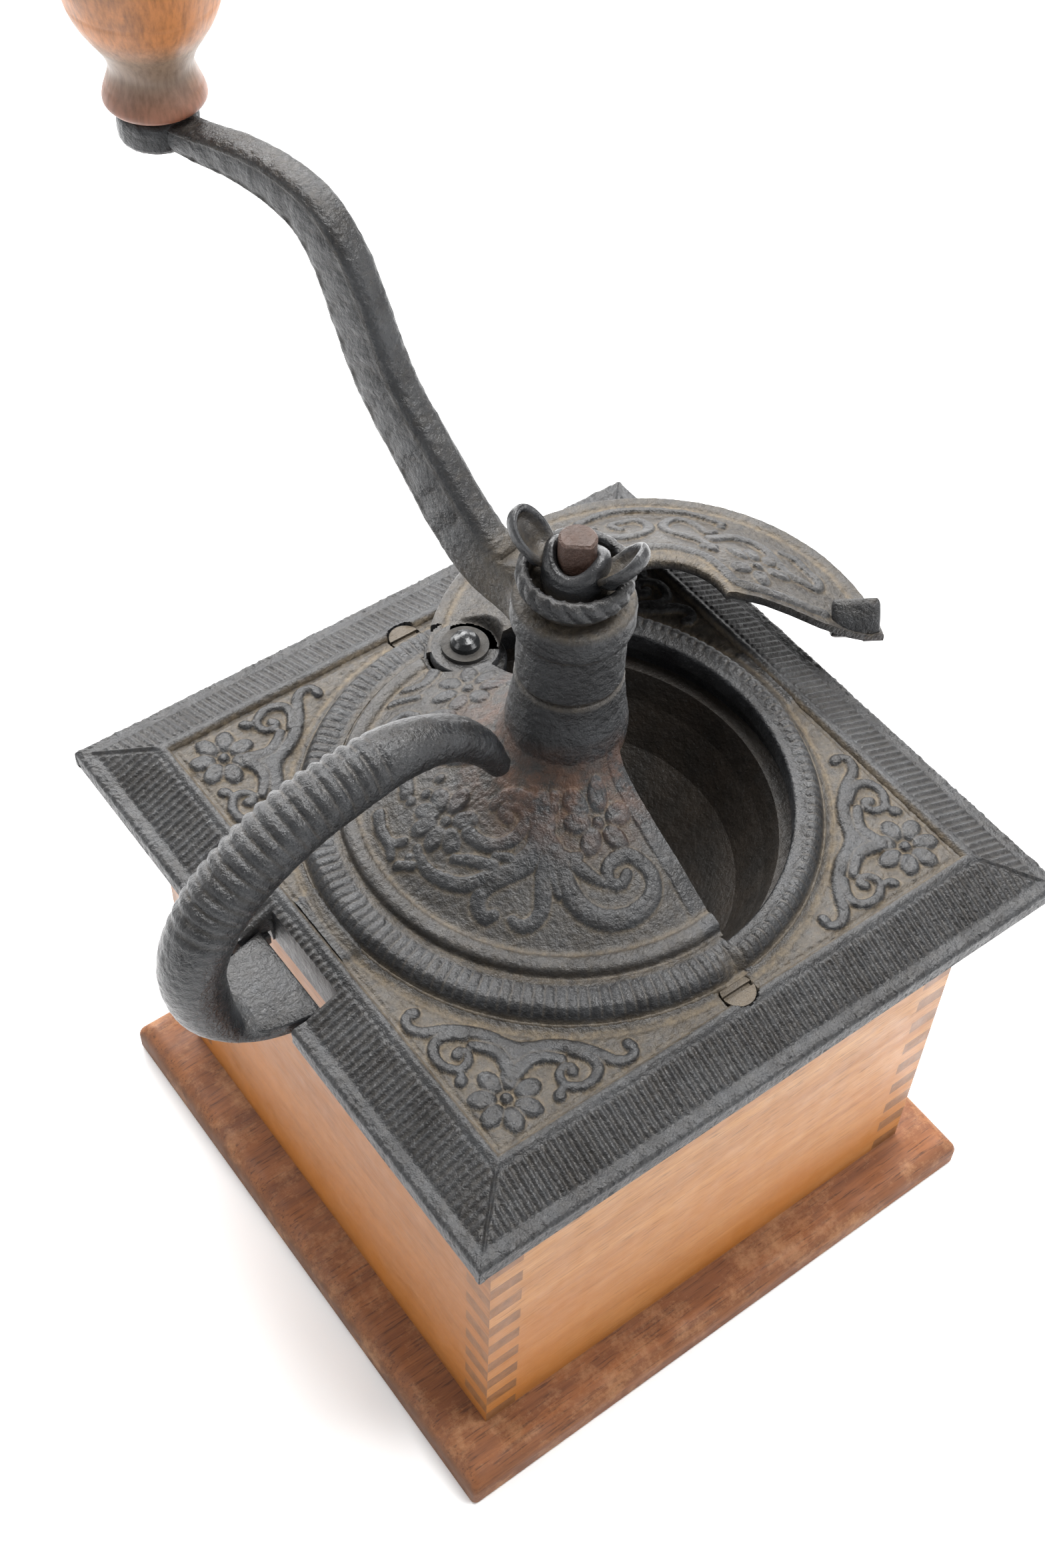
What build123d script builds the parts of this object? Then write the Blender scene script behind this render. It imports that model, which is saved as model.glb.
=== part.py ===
from build123d import *
import math
import os

os.makedirs("parts", exist_ok=True)

# Antique coffee mill. Millimetres, +Z up.
# Origin: centre of the base board's underside, on the grinding shaft's axis.
# -X: carrying handle side, +X: side the lid opens over, +Y: drawer side.

# ---- wooden box ----
BASE_SIDE = 164.4
BASE_THICK = 10.0
BASE_EDGE_ROUND = 4.5
BOX_SIDE = 139.2
BOX_TOP = 124.4
BOARD = 9.0
FINGERS = 23
FINGER = (BOX_TOP - BASE_THICK) / FINGERS
BOX_HALF = BOX_SIDE / 2
INSIDE_HALF = BOX_HALF - BOARD
WOOD_SCREW_R = 2.0
SCREW_HEAD_R = 4.0
SCREW_SLOT_HALF = 0.6
BASE_SCREW_HEAD = 0.3
BASE_SCREW_TIP = 30.0

# ---- drawer ----
DRAWER_OPENING_HALF = 56.2
DRAWER_OPENING_TOP = 60.0
DRAWER_HALF = 55.8
DRAWER_UNDER = BASE_THICK + 0.3
DRAWER_FRONT_TOP = DRAWER_OPENING_TOP - 0.4
DRAWER_FRONT_THICK = 11.0
DRAWER_SIDE_TOP = 53.0
DRAWER_SIDE_THICK = 6.0
DRAWER_REBATE = 5.0
DRAWER_END_Y = -INSIDE_HALF + 1.5
DRAWER_FLOOR = 3.0
DRAWER_FRONT_Y1 = BOX_HALF + 0.2
DRAWER_FRONT_Y0 = DRAWER_FRONT_Y1 - DRAWER_FRONT_THICK
DRAWER_INNER_X = DRAWER_HALF - DRAWER_SIDE_THICK
PULL_Z = 35.0
PULL_SCREW_DEPTH = 13.0

# ---- cast top plate ----
PLATE_HALF = 82.5
PLATE_UNDER = BOX_TOP
PANEL_TOP = 136.0
PANEL_UNDER = 132.5
PANEL_HALF = 65.2
RIDGE_TOP = 137.3
LIP_UNDER = 126.3
HOLLOW_TOP = 128.6
HOLLOW_OUTER = 79.3
HOLLOW_INNER = 71.0
HOPPER_R = 55.0
SKIRT_R = 58.0
SKIRT_UNDER = 129.4
RING_TOP = 141.0
DOME_CUT_X = 4.5
NECK_TOP = 182.7
NECK_R = 11.8
SHAFT_R = 4.0
SHAFT_HOLE_R = 4.1
PLATE_SCREW_Y = 63.5
PLATE_SCREW_HEAD = PANEL_TOP + 0.2
PLATE_SCREW_TIP = 108.0
BOWL_SCREW_R = 2.5
DOME_THICK = 3.4
NOTCH_SIDE = 13.1
NOTCH_INNER = 70.4

# ---- lid ----
RIVET_X = 6.0
RIVET_Y = 46.5
RIVET_R = 2.5
RIVET_PAD_UNDER = 137.2
EAR_R = 8.6
LID_UNDER = 141.4
LID_RIM = 2.6
LID_THICK = 2.4
LID_RIM_INNER_R = 51.0
LID_R = 56.2
LID_CUT_X = 5.0
LID_SCALLOP_R = 16.2
LID_OPEN = 58.0

# ---- bowl and burrs ----
BOWL_TOP = SKIRT_UNDER
BOWL_LUG_R = 62.0
BOWL_LUG_PAD = 6.0
BOWL_FLANGE_UNDER = BOWL_TOP - 3.0
BOWL_UNDER = 66.0
BURR_OUTER_R = 22.0
BURR_TOP = 90.0
BRIDGE_UNDER = 60.6
BRIDGE_SCREW_X = 30.0
BRIDGE_SCREW_R = 2.0
BURR_PIN_Z = 101.0

# ---- crank ----
CRANK_AZIMUTH = 102.0
HUB_UNDER = 183.0
HUB_TOP = 204.8
HUB_R = 11.8
STRAP_R = 13.2
STRAP_UNDER = 197.4
ARM_THICK = 9.0
PAD_REACH = 116.4
PAD_TOP = 266.5
PAD_THICK = 7.0
PAD_R = 8.6
PIN_R = 3.0
FLAT_DEPTH = 1.0
SHAFT_UNDER = 58.0
SHAFT_TOP = 221.5
FLAT_UNDER = 176.0
FLAT_AZIMUTH = -128.0

# ---- grind adjustment ----
COLLAR_UNDER = HUB_TOP + 0.3
COLLAR_TOP = 213.2
COLLAR_CUP_FLOOR = 207.8
COLLAR_CUP_R = 9.6
WING_UNDER = COLLAR_CUP_FLOOR + 0.3
WING_TOP = 214.5
WING_HUB_R = 7.2
WING_AZIMUTH = -60.6
WING_WIDTH = 5.0
WING_THICK = 2.6

# where the seam of a turned solid's surface lies, clear of every cut
SEAM = 217.0

# a cutter between these heights passes right through any piece
CUT_LOW = -20.0
CUT_HIGH = 360.0


def save(node, shape):
    shape.label = node
    export_step(shape, f"parts/{node}.step")


def block(x0, x1, y0, y1, z0, z1):
    return Pos((x0 + x1) / 2, (y0 + y1) / 2, (z0 + z1) / 2) * Box(x1 - x0, y1 - y0, z1 - z0)


def rod(x, y, z0, z1, radius):
    return Pos(x, y, (z0 + z1) / 2) * Cylinder(radius, z1 - z0)


def bore(x, y, radius):
    """Upright cutter that passes right through a piece."""
    return rod(x, y, CUT_LOW, CUT_HIGH, radius)


def half_space(x0, x1):
    """Block between two x, larger than any piece in y and z."""
    return block(x0, x1, -120, 120, CUT_LOW, CUT_HIGH)


def rod_along_y(x, z, y0, y1, radius):
    return Pos(x, (y0 + y1) / 2, z) * Rot(90, 0, 0) * Cylinder(radius, y1 - y0)


def turned(points, smooth=False):
    """Solid of revolution about Z. The points are (radius, z), first and last on one side line."""
    if smooth:
        edge = Spline(*[(r, 0, z) for r, z in points])
        closing = Polyline((points[-1][0], 0, points[-1][1]), (0, 0, points[-1][1]),
                           (0, 0, points[0][1]), (points[0][0], 0, points[0][1]))
        outline = make_face([edge, *closing.edges()])
    else:
        outline = make_face(Polyline(*[(r, 0, z) for r, z in points], close=True).edges())
    return Rot(0, 0, SEAM) * revolve(outline, Axis.Z, 360)


def around_z(shape, angle, x=0.0, y=0.0):
    return Pos(x, y, 0) * Rot(0, 0, angle) * Pos(-x, -y, 0) * shape


def polar(radius, angle):
    return radius * math.cos(math.radians(angle)), radius * math.sin(math.radians(angle))


# ---------------------------------------------------------------- wooden box

BASE_SCREW_PLACES = [(x, y) for x in (-65.1, 65.1) for y in (-42.0, 42.0)]


def wood_screw(x, y, z_head, z_tip, head_r):
    """Countersunk wood screw; z_head is the flat of its head, z_tip its point."""
    up = 1 if z_tip > z_head else -1
    cone = head_r - WOOD_SCREW_R
    outline = [(0, z_head), (head_r, z_head), (head_r, z_head + 0.5 * up),
               (WOOD_SCREW_R, z_head + up * (0.5 + cone)), (WOOD_SCREW_R, z_tip - 5 * up),
               (0.4, z_tip), (0, z_tip)]
    slot_z = sorted((z_head - up, z_head + 0.9 * up))
    slot = block(-head_r, head_r, -SCREW_SLOT_HALF, SCREW_SLOT_HALF, *slot_z)
    return Pos(x, y, 0) * (turned(outline) - slot)


def screw_seat(x, y, z_head, z_tip, head_r):
    """Hole that takes the wood screw above."""
    up = 1 if z_tip > z_head else -1
    cone = head_r - WOOD_SCREW_R
    outline = [(0, z_head - up), (head_r, z_head - up), (head_r, z_head + 0.5 * up),
               (WOOD_SCREW_R, z_head + up * (0.5 + cone)), (WOOD_SCREW_R, z_tip), (0, z_tip)]
    return Pos(x, y, 0) * turned(outline)


def base_board():
    board = block(-BASE_SIDE / 2, BASE_SIDE / 2, -BASE_SIDE / 2, BASE_SIDE / 2, 0, BASE_THICK)
    board = fillet(board.edges().filter_by(Axis.Z), 1.5)
    board = fillet(board.faces().sort_by(Axis.Z)[-1].edges(), BASE_EDGE_ROUND)
    board = chamfer(board.faces().sort_by(Axis.Z)[0].edges(), 0.8)
    for x, y in BASE_SCREW_PLACES:
        board -= screw_seat(x, y, BASE_SCREW_HEAD, BASE_SCREW_TIP, SCREW_HEAD_R)
    return board


def finger_slots(first):
    """Blocks to cut away at both ends of a board, every other finger."""
    cut = []
    for i in range(first, FINGERS, 2):
        z0 = BASE_THICK + i * FINGER
        for side in (-1, 1):
            x0, x1 = sorted((side * INSIDE_HALF, side * (BOX_HALF + 1)))
            cut.append(block(x0, x1, -BOX_HALF - 1, BOX_HALF + 1, z0, z0 + FINGER))
    return cut


def board_along_x(y0, y1):
    board = block(-BOX_HALF, BOX_HALF, y0, y1, BASE_THICK, BOX_TOP)
    return board - finger_slots(0)


def board_along_y(x0, x1):
    board = block(x0, x1, -BOX_HALF, BOX_HALF, BASE_THICK, BOX_TOP)
    slots = [Rot(0, 0, 90) * slot for slot in finger_slots(1)]
    board -= slots
    middle = (x0 + x1) / 2
    for x, y in BASE_SCREW_PLACES:
        if abs(x - middle) < BOARD:
            board -= screw_seat(x, y, BASE_SCREW_HEAD, BASE_SCREW_TIP, SCREW_HEAD_R)
    return board


def board_front():
    return board_along_x(-BOX_HALF, -INSIDE_HALF) - plate_screw_seat(-PLATE_SCREW_Y)


def board_back():
    board = board_along_x(INSIDE_HALF, BOX_HALF) - plate_screw_seat(PLATE_SCREW_Y)
    return board - block(-DRAWER_OPENING_HALF, DRAWER_OPENING_HALF, INSIDE_HALF - 1, BOX_HALF + 1,
                         BASE_THICK - 1, DRAWER_OPENING_TOP)


# ------------------------------------------------------------------- drawer

def drawer_front():
    board = block(-DRAWER_HALF, DRAWER_HALF, DRAWER_FRONT_Y0, DRAWER_FRONT_Y1,
                  DRAWER_UNDER, DRAWER_FRONT_TOP)
    board = chamfer(board.faces().sort_by(Axis.Y)[-1].edges(), 1.0)
    for x0 in (-DRAWER_HALF, DRAWER_HALF - DRAWER_SIDE_THICK):
        board -= block(x0, x0 + DRAWER_SIDE_THICK, DRAWER_FRONT_Y0, DRAWER_FRONT_Y0 + DRAWER_REBATE,
                       DRAWER_UNDER - 1, DRAWER_SIDE_TOP)
    return board - rod_along_y(0, PULL_Z, DRAWER_FRONT_Y0 - 1, DRAWER_FRONT_Y1 + 1, WOOD_SCREW_R)


def drawer_side(x0):
    return block(x0, x0 + DRAWER_SIDE_THICK, DRAWER_END_Y, DRAWER_FRONT_Y0 + DRAWER_REBATE,
                 DRAWER_UNDER, DRAWER_SIDE_TOP)


def drawer_back():
    return block(-DRAWER_INNER_X, DRAWER_INNER_X, DRAWER_END_Y, DRAWER_END_Y + DRAWER_SIDE_THICK,
                 DRAWER_UNDER, DRAWER_SIDE_TOP)


def drawer_bottom():
    z0 = DRAWER_UNDER + 0.7
    return block(-DRAWER_INNER_X, DRAWER_INNER_X, DRAWER_END_Y + DRAWER_SIDE_THICK, DRAWER_FRONT_Y0,
                 z0, z0 + DRAWER_FLOOR)


def drawer_knob():
    outline = [(5.5, 0), (4.6, 3), (4.8, 6), (8.6, 9), (10.8, 12.5), (10.2, 16), (6.5, 18.4),
               (2.0, 18.9)]
    knob = turned(outline, smooth=True)
    knob -= rod(0, 0, -1, PULL_SCREW_DEPTH, WOOD_SCREW_R)
    return Pos(0, DRAWER_FRONT_Y1, PULL_Z) * Rot(-90, 0, 0) * knob


def drawer_knob_screw():
    shank = rod_along_y(0, PULL_Z, DRAWER_FRONT_Y0, DRAWER_FRONT_Y1 + PULL_SCREW_DEPTH, WOOD_SCREW_R)
    head = rod_along_y(0, PULL_Z, DRAWER_FRONT_Y0 - 2.2, DRAWER_FRONT_Y0, SCREW_HEAD_R)
    slot = block(-5, 5, DRAWER_FRONT_Y0 - 3, DRAWER_FRONT_Y0 - 1.3,
                 PULL_Z - SCREW_SLOT_HALF, PULL_Z + SCREW_SLOT_HALF)
    return shank + head - slot


# ---------------------------------------------------------------- top plate

def plate_screw_seat(y):
    return screw_seat(0, y, PLATE_SCREW_HEAD, PLATE_SCREW_TIP, SCREW_HEAD_R)


def square_at(half, z):
    return Plane.XY.offset(z) * Rectangle(2 * half, 2 * half)


def plate_border():
    """Square frame: upright lip, smooth band, reeded slope, inner ridge round the sunken panel."""
    steps = [(PLATE_HALF, LIP_UNDER), (PLATE_HALF, 129.6), (81.2, 131.2), (77.8, 131.7),
             (67.9, 136.9), (67.2, RIDGE_TOP)]
    frame = loft([square_at(half, z) for half, z in steps], ruled=True)
    frame += block(-HOLLOW_INNER, HOLLOW_INNER, -HOLLOW_INNER, HOLLOW_INNER, PLATE_UNDER, LIP_UNDER)
    frame -= block(-PANEL_HALF, PANEL_HALF, -PANEL_HALF, PANEL_HALF, PANEL_TOP, RIDGE_TOP + 1)
    frame -= block(-INSIDE_HALF, INSIDE_HALF, -INSIDE_HALF, INSIDE_HALF, PLATE_UNDER - 1, PANEL_UNDER)
    hollow = block(-HOLLOW_OUTER, HOLLOW_OUTER, -HOLLOW_OUTER, HOLLOW_OUTER, PLATE_UNDER - 1, HOLLOW_TOP)
    hollow -= block(-HOLLOW_INNER, HOLLOW_INNER, -HOLLOW_INNER, HOLLOW_INNER, 0, HOLLOW_TOP + 1)
    return frame - hollow


DOME_TOP_LINE = [(50.0, 141.6), (46.0, 143.8), (39.6, 147.4), (32.0, 151.2), (26.0, 154.2),
                 (17.0, 159.2)]


def dome_shell(top_line, thick, inner_r):
    """Shell of revolution below a falling top line."""
    inner = (inner_r, top_line[-1][1] + 0.4 * (top_line[-1][0] - inner_r))
    top = Spline(*[(r, 0, z) for r, z in [*top_line, inner]])
    under = Spline(*[(r, 0, z - thick) for r, z in [*top_line, inner]])
    outline = make_face([top, under, Line(top @ 0, under @ 0), Line(top @ 1, under @ 1)])
    return Rot(0, 0, SEAM) * revolve(outline, Axis.Z, 360)


def hopper_ring():
    return turned([(HOPPER_R, SKIRT_UNDER), (SKIRT_R, SKIRT_UNDER), (SKIRT_R, 134.0), (61.2, 134.0),
                   (60.6, 137.6), (59.4, 140.0), (57.6, RING_TOP), (56.2, 140.6), (HOPPER_R, 139.2)])


def fixed_half_dome():
    rim = turned([(HOPPER_R + 0.5, 134.5), (HOPPER_R + 0.5, 140.8), (53.2, 140.7), (51.6, 140.5),
                  (51.2, 142.4), (50.2, 143.2), (48.8, 143.4), (47.4, 142.9), (47.0, 140.6), (50.0, 134.5)])
    shell = dome_shell(DOME_TOP_LINE, DOME_THICK, 10.0)
    half = half_space(-70, DOME_CUT_X)
    dome = (rim & half) + (shell & half)
    room = rod(RIVET_X, RIVET_Y, LID_UNDER - 0.4, 200, EAR_R + 1.6)
    pad = rod(RIVET_X, RIVET_Y, RIVET_PAD_UNDER, LID_UNDER - 0.4, EAR_R + 1.6)
    arm = block(DOME_CUT_X - 9, DOME_CUT_X, RIVET_Y - 14, RIVET_Y, 139.0, LID_UNDER - 0.4)
    return dome - room + pad + (arm - bore(0, 0, 36.0))


def neck():
    return turned([(0, 146.0), (11.6, 146.0), (11.6, 156.5), (12.4, 158.6), (14.4, 161.0), (15.1, 164.5),
                   (14.2, 168.6), (12.6, 172.4), (NECK_R, 176.0), (NECK_R, NECK_TOP), (0, NECK_TOP)])


def bowl_lug_places():
    return [polar(BOWL_LUG_R, angle) for angle in (45, 135, 225, 315)]


def top_plate():
    plate = plate_border()
    plate -= bore(0, 0, SKIRT_R)
    plate += hopper_ring()
    plate += fixed_half_dome()
    plate += neck()
    for side in (-1, 1):
        x0, x1 = sorted((side * 59.0, side * 67.0))
        plate += block(x0, x1, -8, 12, PANEL_TOP - 1, RIDGE_TOP + 0.4) - bore(0, 0, 58.5)
    for x, y in bowl_lug_places():
        plate += rod(x, y, SKIRT_UNDER, PANEL_UNDER + 0.5, BOWL_LUG_PAD - 1) - bore(0, 0, SKIRT_R - 1)
        plate -= rod(x, y, SKIRT_UNDER - 1, 134.6, BOWL_SCREW_R)
    plate -= bore(0, 0, SHAFT_HOLE_R)
    plate -= bore(RIVET_X, RIVET_Y, RIVET_R)
    plate -= rod(RIVET_X, RIVET_Y, 130, RIVET_PAD_UNDER, 4.6)
    plate -= block(2.0, 8.5, -62.0, -52.0, 138.0, 150)
    for y in (-PLATE_SCREW_Y, PLATE_SCREW_Y):
        plate -= plate_screw_seat(y)
    plate -= block(-PLATE_HALF - 1, -NOTCH_INNER, -NOTCH_SIDE, NOTCH_SIDE, PLATE_UNDER - 1, 140)
    for y in HANDLE_SCREW_Y:
        plate -= rod(HANDLE_SCREW_X, y, PLATE_UNDER, 131.2, 1.8)
    return plate


def plate_screws():
    return Compound([wood_screw(0, y, PLATE_SCREW_HEAD, PLATE_SCREW_TIP, SCREW_HEAD_R)
                     for y in (-PLATE_SCREW_Y, PLATE_SCREW_Y)])


# ---------------------------------------------------------- carrying handle

HANDLE_Y = -2.0
HANDLE_SCREW_X = -75.3
HANDLE_SCREW_Y = (-17.5, 17.5)
LUG_TOP = HOLLOW_TOP
FOOT_UNDER = 127.4
FOOT_TOP = 131.2
# along the bar's centre: x, z, half height in the bar's plane, half width across it
HANDLE_LINE = [(-86.0, 129.4, 1.9, 9.0), (-92.4, 131.8, 3.8, 7.4), (-96.6, 141.0, 6.4, 7.0),
               (-97.6, 155.0, 7.2, 7.3), (-92.4, 168.0, 7.5, 7.5), (-83.2, 177.4, 7.5, 7.5),
               (-71.6, 184.0, 7.4, 7.4), (-58.4, 187.4, 7.0, 7.0), (-45.4, 188.2, 6.2, 6.2),
               (-33.6, 184.2, 5.2, 5.2), (-25.2, 175.8, 4.2, 4.2), (-20.2, 166.6, 2.9, 2.9)]


def handle_bar():
    line = Spline(*[(x, HANDLE_Y, z) for x, z, _, _ in HANDLE_LINE])
    sections = []
    for x, z, high, wide in HANDLE_LINE:
        along = nearest_share(line, x, z)
        place = Plane(origin=line @ along, x_dir=(0, 1, 0), z_dir=line % along)
        sections.append(place * Ellipse(wide, high))
    tip_x, tip_z, tip_r, _ = HANDLE_LINE[-1]
    return loft(sections) + Pos(tip_x, HANDLE_Y, tip_z) * Sphere(tip_r)


def nearest_share(line, x, z):
    """Where along the line, as a share of its length, it passes the given point."""
    shares = [i / 400 for i in range(401)]
    return min(shares, key=lambda share: ((line @ share).X - x) ** 2 + ((line @ share).Z - z) ** 2)


def carrying_handle():
    side = [(-74.0, -13.0), (-82.0, -11.6), (-88.0, -9.6), (-92.6, -6.6), (-95.0, -2.0)]
    back = [(x, -y - 0.6) for x, y in side[::-1]]
    back[-1] = (-74.0, 13.0)
    outline = make_face([*Polyline(back[-1], side[0]).edges(), Spline(*side, *back)])
    foot = extrude(Plane.XY.offset(FOOT_UNDER) * outline, FOOT_TOP - FOOT_UNDER)
    lugs = block(-78.8, -71.8, -22, 22, PLATE_UNDER + 0.8, LUG_TOP)
    handle = foot + handle_bar() + lugs
    for y in HANDLE_SCREW_Y:
        handle -= rod(HANDLE_SCREW_X, y, PLATE_UNDER - 1, LUG_TOP + 1, 1.8)
    return handle


def handle_screws():
    head = PLATE_UNDER + 0.8
    outline = [(0, head - 1.6), (3.2, head - 1.6), (3.2, head), (1.8, head), (1.8, 131.0), (0, 131.0)]
    return Compound([Pos(HANDLE_SCREW_X, y, 0) * turned(outline) for y in HANDLE_SCREW_Y])


# ---------------------------------------------------------------------- lid

LID_TOP_LINE = [(52.4, 143.8), (47.0, 145.4), (39.6, 149.4), (32.0, 154.2), (25.5, 158.0), (18.0, 160.8)]


def hopper_lid():
    rim_top = LID_UNDER + LID_RIM
    rim = turned([(LID_RIM_INNER_R, LID_UNDER), (LID_R, LID_UNDER), (LID_R, rim_top - 0.4),
                  (LID_R - 0.4, rim_top), (LID_RIM_INNER_R, rim_top)])
    shell = dome_shell(LID_TOP_LINE, LID_THICK, 12.0)
    half = half_space(LID_CUT_X, 70)
    lid = (rim & half) + (shell & half)
    lid -= bore(0, 0, LID_SCALLOP_R)
    lid -= rod(RIVET_X, RIVET_Y, rim_top, CUT_HIGH, EAR_R - 1.5)
    lid += rod(RIVET_X, RIVET_Y, LID_UNDER, rim_top, EAR_R)
    corner = block(-20, RIVET_X + 8, RIVET_Y, 70, CUT_LOW, CUT_HIGH)
    lid -= corner - bore(RIVET_X, RIVET_Y, EAR_R + 1.0)
    lid += lid_tab()
    lid -= bore(RIVET_X, RIVET_Y, RIVET_R + 0.08)
    return around_z(lid, LID_OPEN, RIVET_X, RIVET_Y)


def lid_tab():
    """Thumb tab at the free end of the straight edge, turned up and leaning back over the lid."""
    flat = block(LID_CUT_X, LID_CUT_X + 9, -55.2, -48.0, LID_UNDER, LID_UNDER + LID_RIM)
    side = Polyline((LID_CUT_X, LID_UNDER), (LID_CUT_X + 2.6, LID_UNDER), (LID_CUT_X + 7.0, 150.2),
                    (LID_CUT_X + 5.0, 150.8), (LID_CUT_X, 143.4), close=True)
    upright = extrude(Plane.XZ.offset(42.0) * make_face(side.edges()), 11.6)
    return flat + upright


def lid_rivet():
    base = LID_UNDER + LID_RIM + 1.2
    head = turned([(0, base), (3.7, base), (3.5, base + 1.2), (2.6, base + 2.4), (1.2, base + 3.1),
                   (0, base + 3.3)])
    shank = rod(0, 0, RIVET_PAD_UNDER - 1.8, base, RIVET_R)
    foot = rod(0, 0, RIVET_PAD_UNDER - 1.8, RIVET_PAD_UNDER, 4.2)
    return Pos(RIVET_X, RIVET_Y, 0) * (head + shank + foot)


def lid_washer():
    base = LID_UNDER + LID_RIM + 0.2
    return rod(RIVET_X, RIVET_Y, base, base + 1.0, 5.8) - bore(RIVET_X, RIVET_Y, RIVET_R)


# --------------------------------------------------------- bowl and burrs

def hopper_bowl():
    outside = [(57.4, BOWL_TOP), (57.4, BOWL_FLANGE_UNDER), (53.0, BOWL_TOP - 4.5), (51.6, 121.0),
               (45.6, 109.6), (33.0, 97.4), (26.0, 93.0), (26.0, BOWL_UNDER)]
    inside = [(BURR_OUTER_R, BOWL_UNDER), (BURR_OUTER_R, BURR_TOP), (19.0, BURR_TOP), (19.0, 92.0),
              (31.0, 99.6), (43.2, 111.4), (48.8, 122.0), (51.4, BOWL_TOP)]
    bowl = turned(outside + inside)
    for x, y in bowl_lug_places():
        bowl += rod(x, y, BOWL_FLANGE_UNDER, BOWL_TOP, BOWL_LUG_PAD) - bore(0, 0, 56.0)
        bowl -= bore(x, y, BOWL_SCREW_R)
    for side in (-1, 1):
        lug = rod(side * BRIDGE_SCREW_X, 0, BOWL_UNDER, 78.0, 6.0) - bore(0, 0, 24.5)
        bowl += lug - rod(side * BRIDGE_SCREW_X, 0, CUT_LOW, 76.0, BRIDGE_SCREW_R)
    return bowl


def bowl_screws():
    head = BOWL_FLANGE_UNDER - 2.4
    outline = [(0, head), (4.2, head), (4.2, BOWL_FLANGE_UNDER), (BOWL_SCREW_R, BOWL_FLANGE_UNDER),
               (BOWL_SCREW_R, 134.4), (0, 134.4)]
    slot = block(-5, 5, -SCREW_SLOT_HALF, SCREW_SLOT_HALF, head - 1, head + 1)
    screw = turned(outline) - slot
    return Compound([Pos(x, y, 0) * screw for x, y in bowl_lug_places()])


def outer_burr():
    ring = turned([(BURR_OUTER_R, BOWL_UNDER), (BURR_OUTER_R, BURR_TOP), (13.6, BURR_TOP),
                   (13.6, 88.0), (18.2, BOWL_UNDER)])
    groove = Pos(16.4, 0, 77.0) * Rot(0, -12, 0) * Box(2.6, 1.6, 40)
    slots = [Rot(0, 0, 20 * i) * groove for i in range(18)]
    return ring - slots & rod(0, 0, BOWL_UNDER, BURR_TOP, 30)


def inner_burr():
    cone = turned([(0, 67.0), (16.6, 67.0), (16.6, 68.2), (12.4, 87.6), (8.4, 92.6), (7.0, 104.0),
                   (0, 104.0)])
    groove = Pos(15.0, 0, 78.0) * Rot(0, -12, 0) * Rot(14, 0, 0) * Box(2.6, 1.5, 44)
    slots = [Rot(0, 0, 24 * i) * groove for i in range(15)]
    cone = cone - slots
    for i in range(3):
        vane = Pos(9.4, 0, 97.0) * Rot(24, 0, 0) * Box(6.0, 2.2, 13.0)
        cone += Rot(0, 0, 120 * i) * vane
    cone -= bore(0, 0, SHAFT_R)
    return cone - burr_pin_place()


def burr_pin_place():
    return Pos(0, 0, BURR_PIN_Z) * Rot(0, 90, 30) * Cylinder(1.4, 12.0)


def burr_pin():
    return burr_pin_place()


def bridge():
    bar = block(-36, 36, -5.5, 5.5, BRIDGE_UNDER, BOWL_UNDER)
    bar = fillet(bar.edges().filter_by(Axis.Z), 5.0)
    bar += rod(0, 0, SHAFT_UNDER + 0.4, BOWL_UNDER, 8.0)
    bar -= bore(0, 0, SHAFT_HOLE_R)
    for side in (-1, 1):
        bar -= bore(side * BRIDGE_SCREW_X, 0, BRIDGE_SCREW_R)
    return bar


def bridge_screws():
    head = BRIDGE_UNDER - 2.7
    outline = [(0, head), (3.6, head), (3.6, BRIDGE_UNDER), (BRIDGE_SCREW_R, BRIDGE_UNDER),
               (BRIDGE_SCREW_R, 75.5), (0, 75.5)]
    slot = block(-5, 5, -SCREW_SLOT_HALF, SCREW_SLOT_HALF, head - 1, head + 1)
    screw = turned(outline) - slot
    return Compound([Pos(side * BRIDGE_SCREW_X, 0, 0) * screw for side in (-1, 1)])


def with_flat(radius, z0, z1, depth):
    """Round bar with one flat along it."""
    flat = block(radius - depth, radius + 1, -radius - 1, radius + 1, z0 - 1, z1 + 1)
    return rod(0, 0, z0, z1, radius) - Rot(0, 0, FLAT_AZIMUTH) * flat


def shaft():
    bar = rod(0, 0, SHAFT_UNDER, FLAT_UNDER, SHAFT_R)
    bar += with_flat(SHAFT_R, FLAT_UNDER, SHAFT_TOP, FLAT_DEPTH)
    bar -= burr_pin_place()
    return chamfer(bar.faces().sort_by(Axis.Z)[-1].edges(), 0.5)


# -------------------------------------------------------------------- crank

# along the arm's centre: reach from the shaft, height, half depth of the bar
ARM_LINE = [(6.0, 197.4, 7.0), (14.0, 197.2, 7.2), (23.4, 199.6, 8.6), (30.5, 204.8, 8.6),
            (36.7, 211.4, 8.2), (42.7, 218.6, 7.8), (48.8, 225.6, 7.4), (53.8, 233.0, 7.2),
            (57.6, 241.2, 7.0), (61.1, 249.4, 6.8), (65.2, 256.8, 6.4), (71.4, 262.8, 5.8),
            (80.2, 265.4, 5.0), (91.0, 265.6, 4.2), (103.7, 263.8, 3.4), (PAD_REACH, 263.0, 2.8)]


def arm_outline():
    """Upper and lower edge of the arm in its own plane, as reach and height."""
    line = Spline(*[(reach, z) for reach, z, _ in ARM_LINE])
    upper = []
    lower = []
    for reach, z, half in ARM_LINE:
        share = min((i / 600 for i in range(601)),
                    key=lambda s: ((line @ s).X - reach) ** 2 + ((line @ s).Y - z) ** 2)
        tangent = line % share
        upper.append((reach - tangent.Y * half, z + tangent.X * half))
        lower.append((reach + tangent.Y * half, z - tangent.X * half))
    return upper, lower


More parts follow.
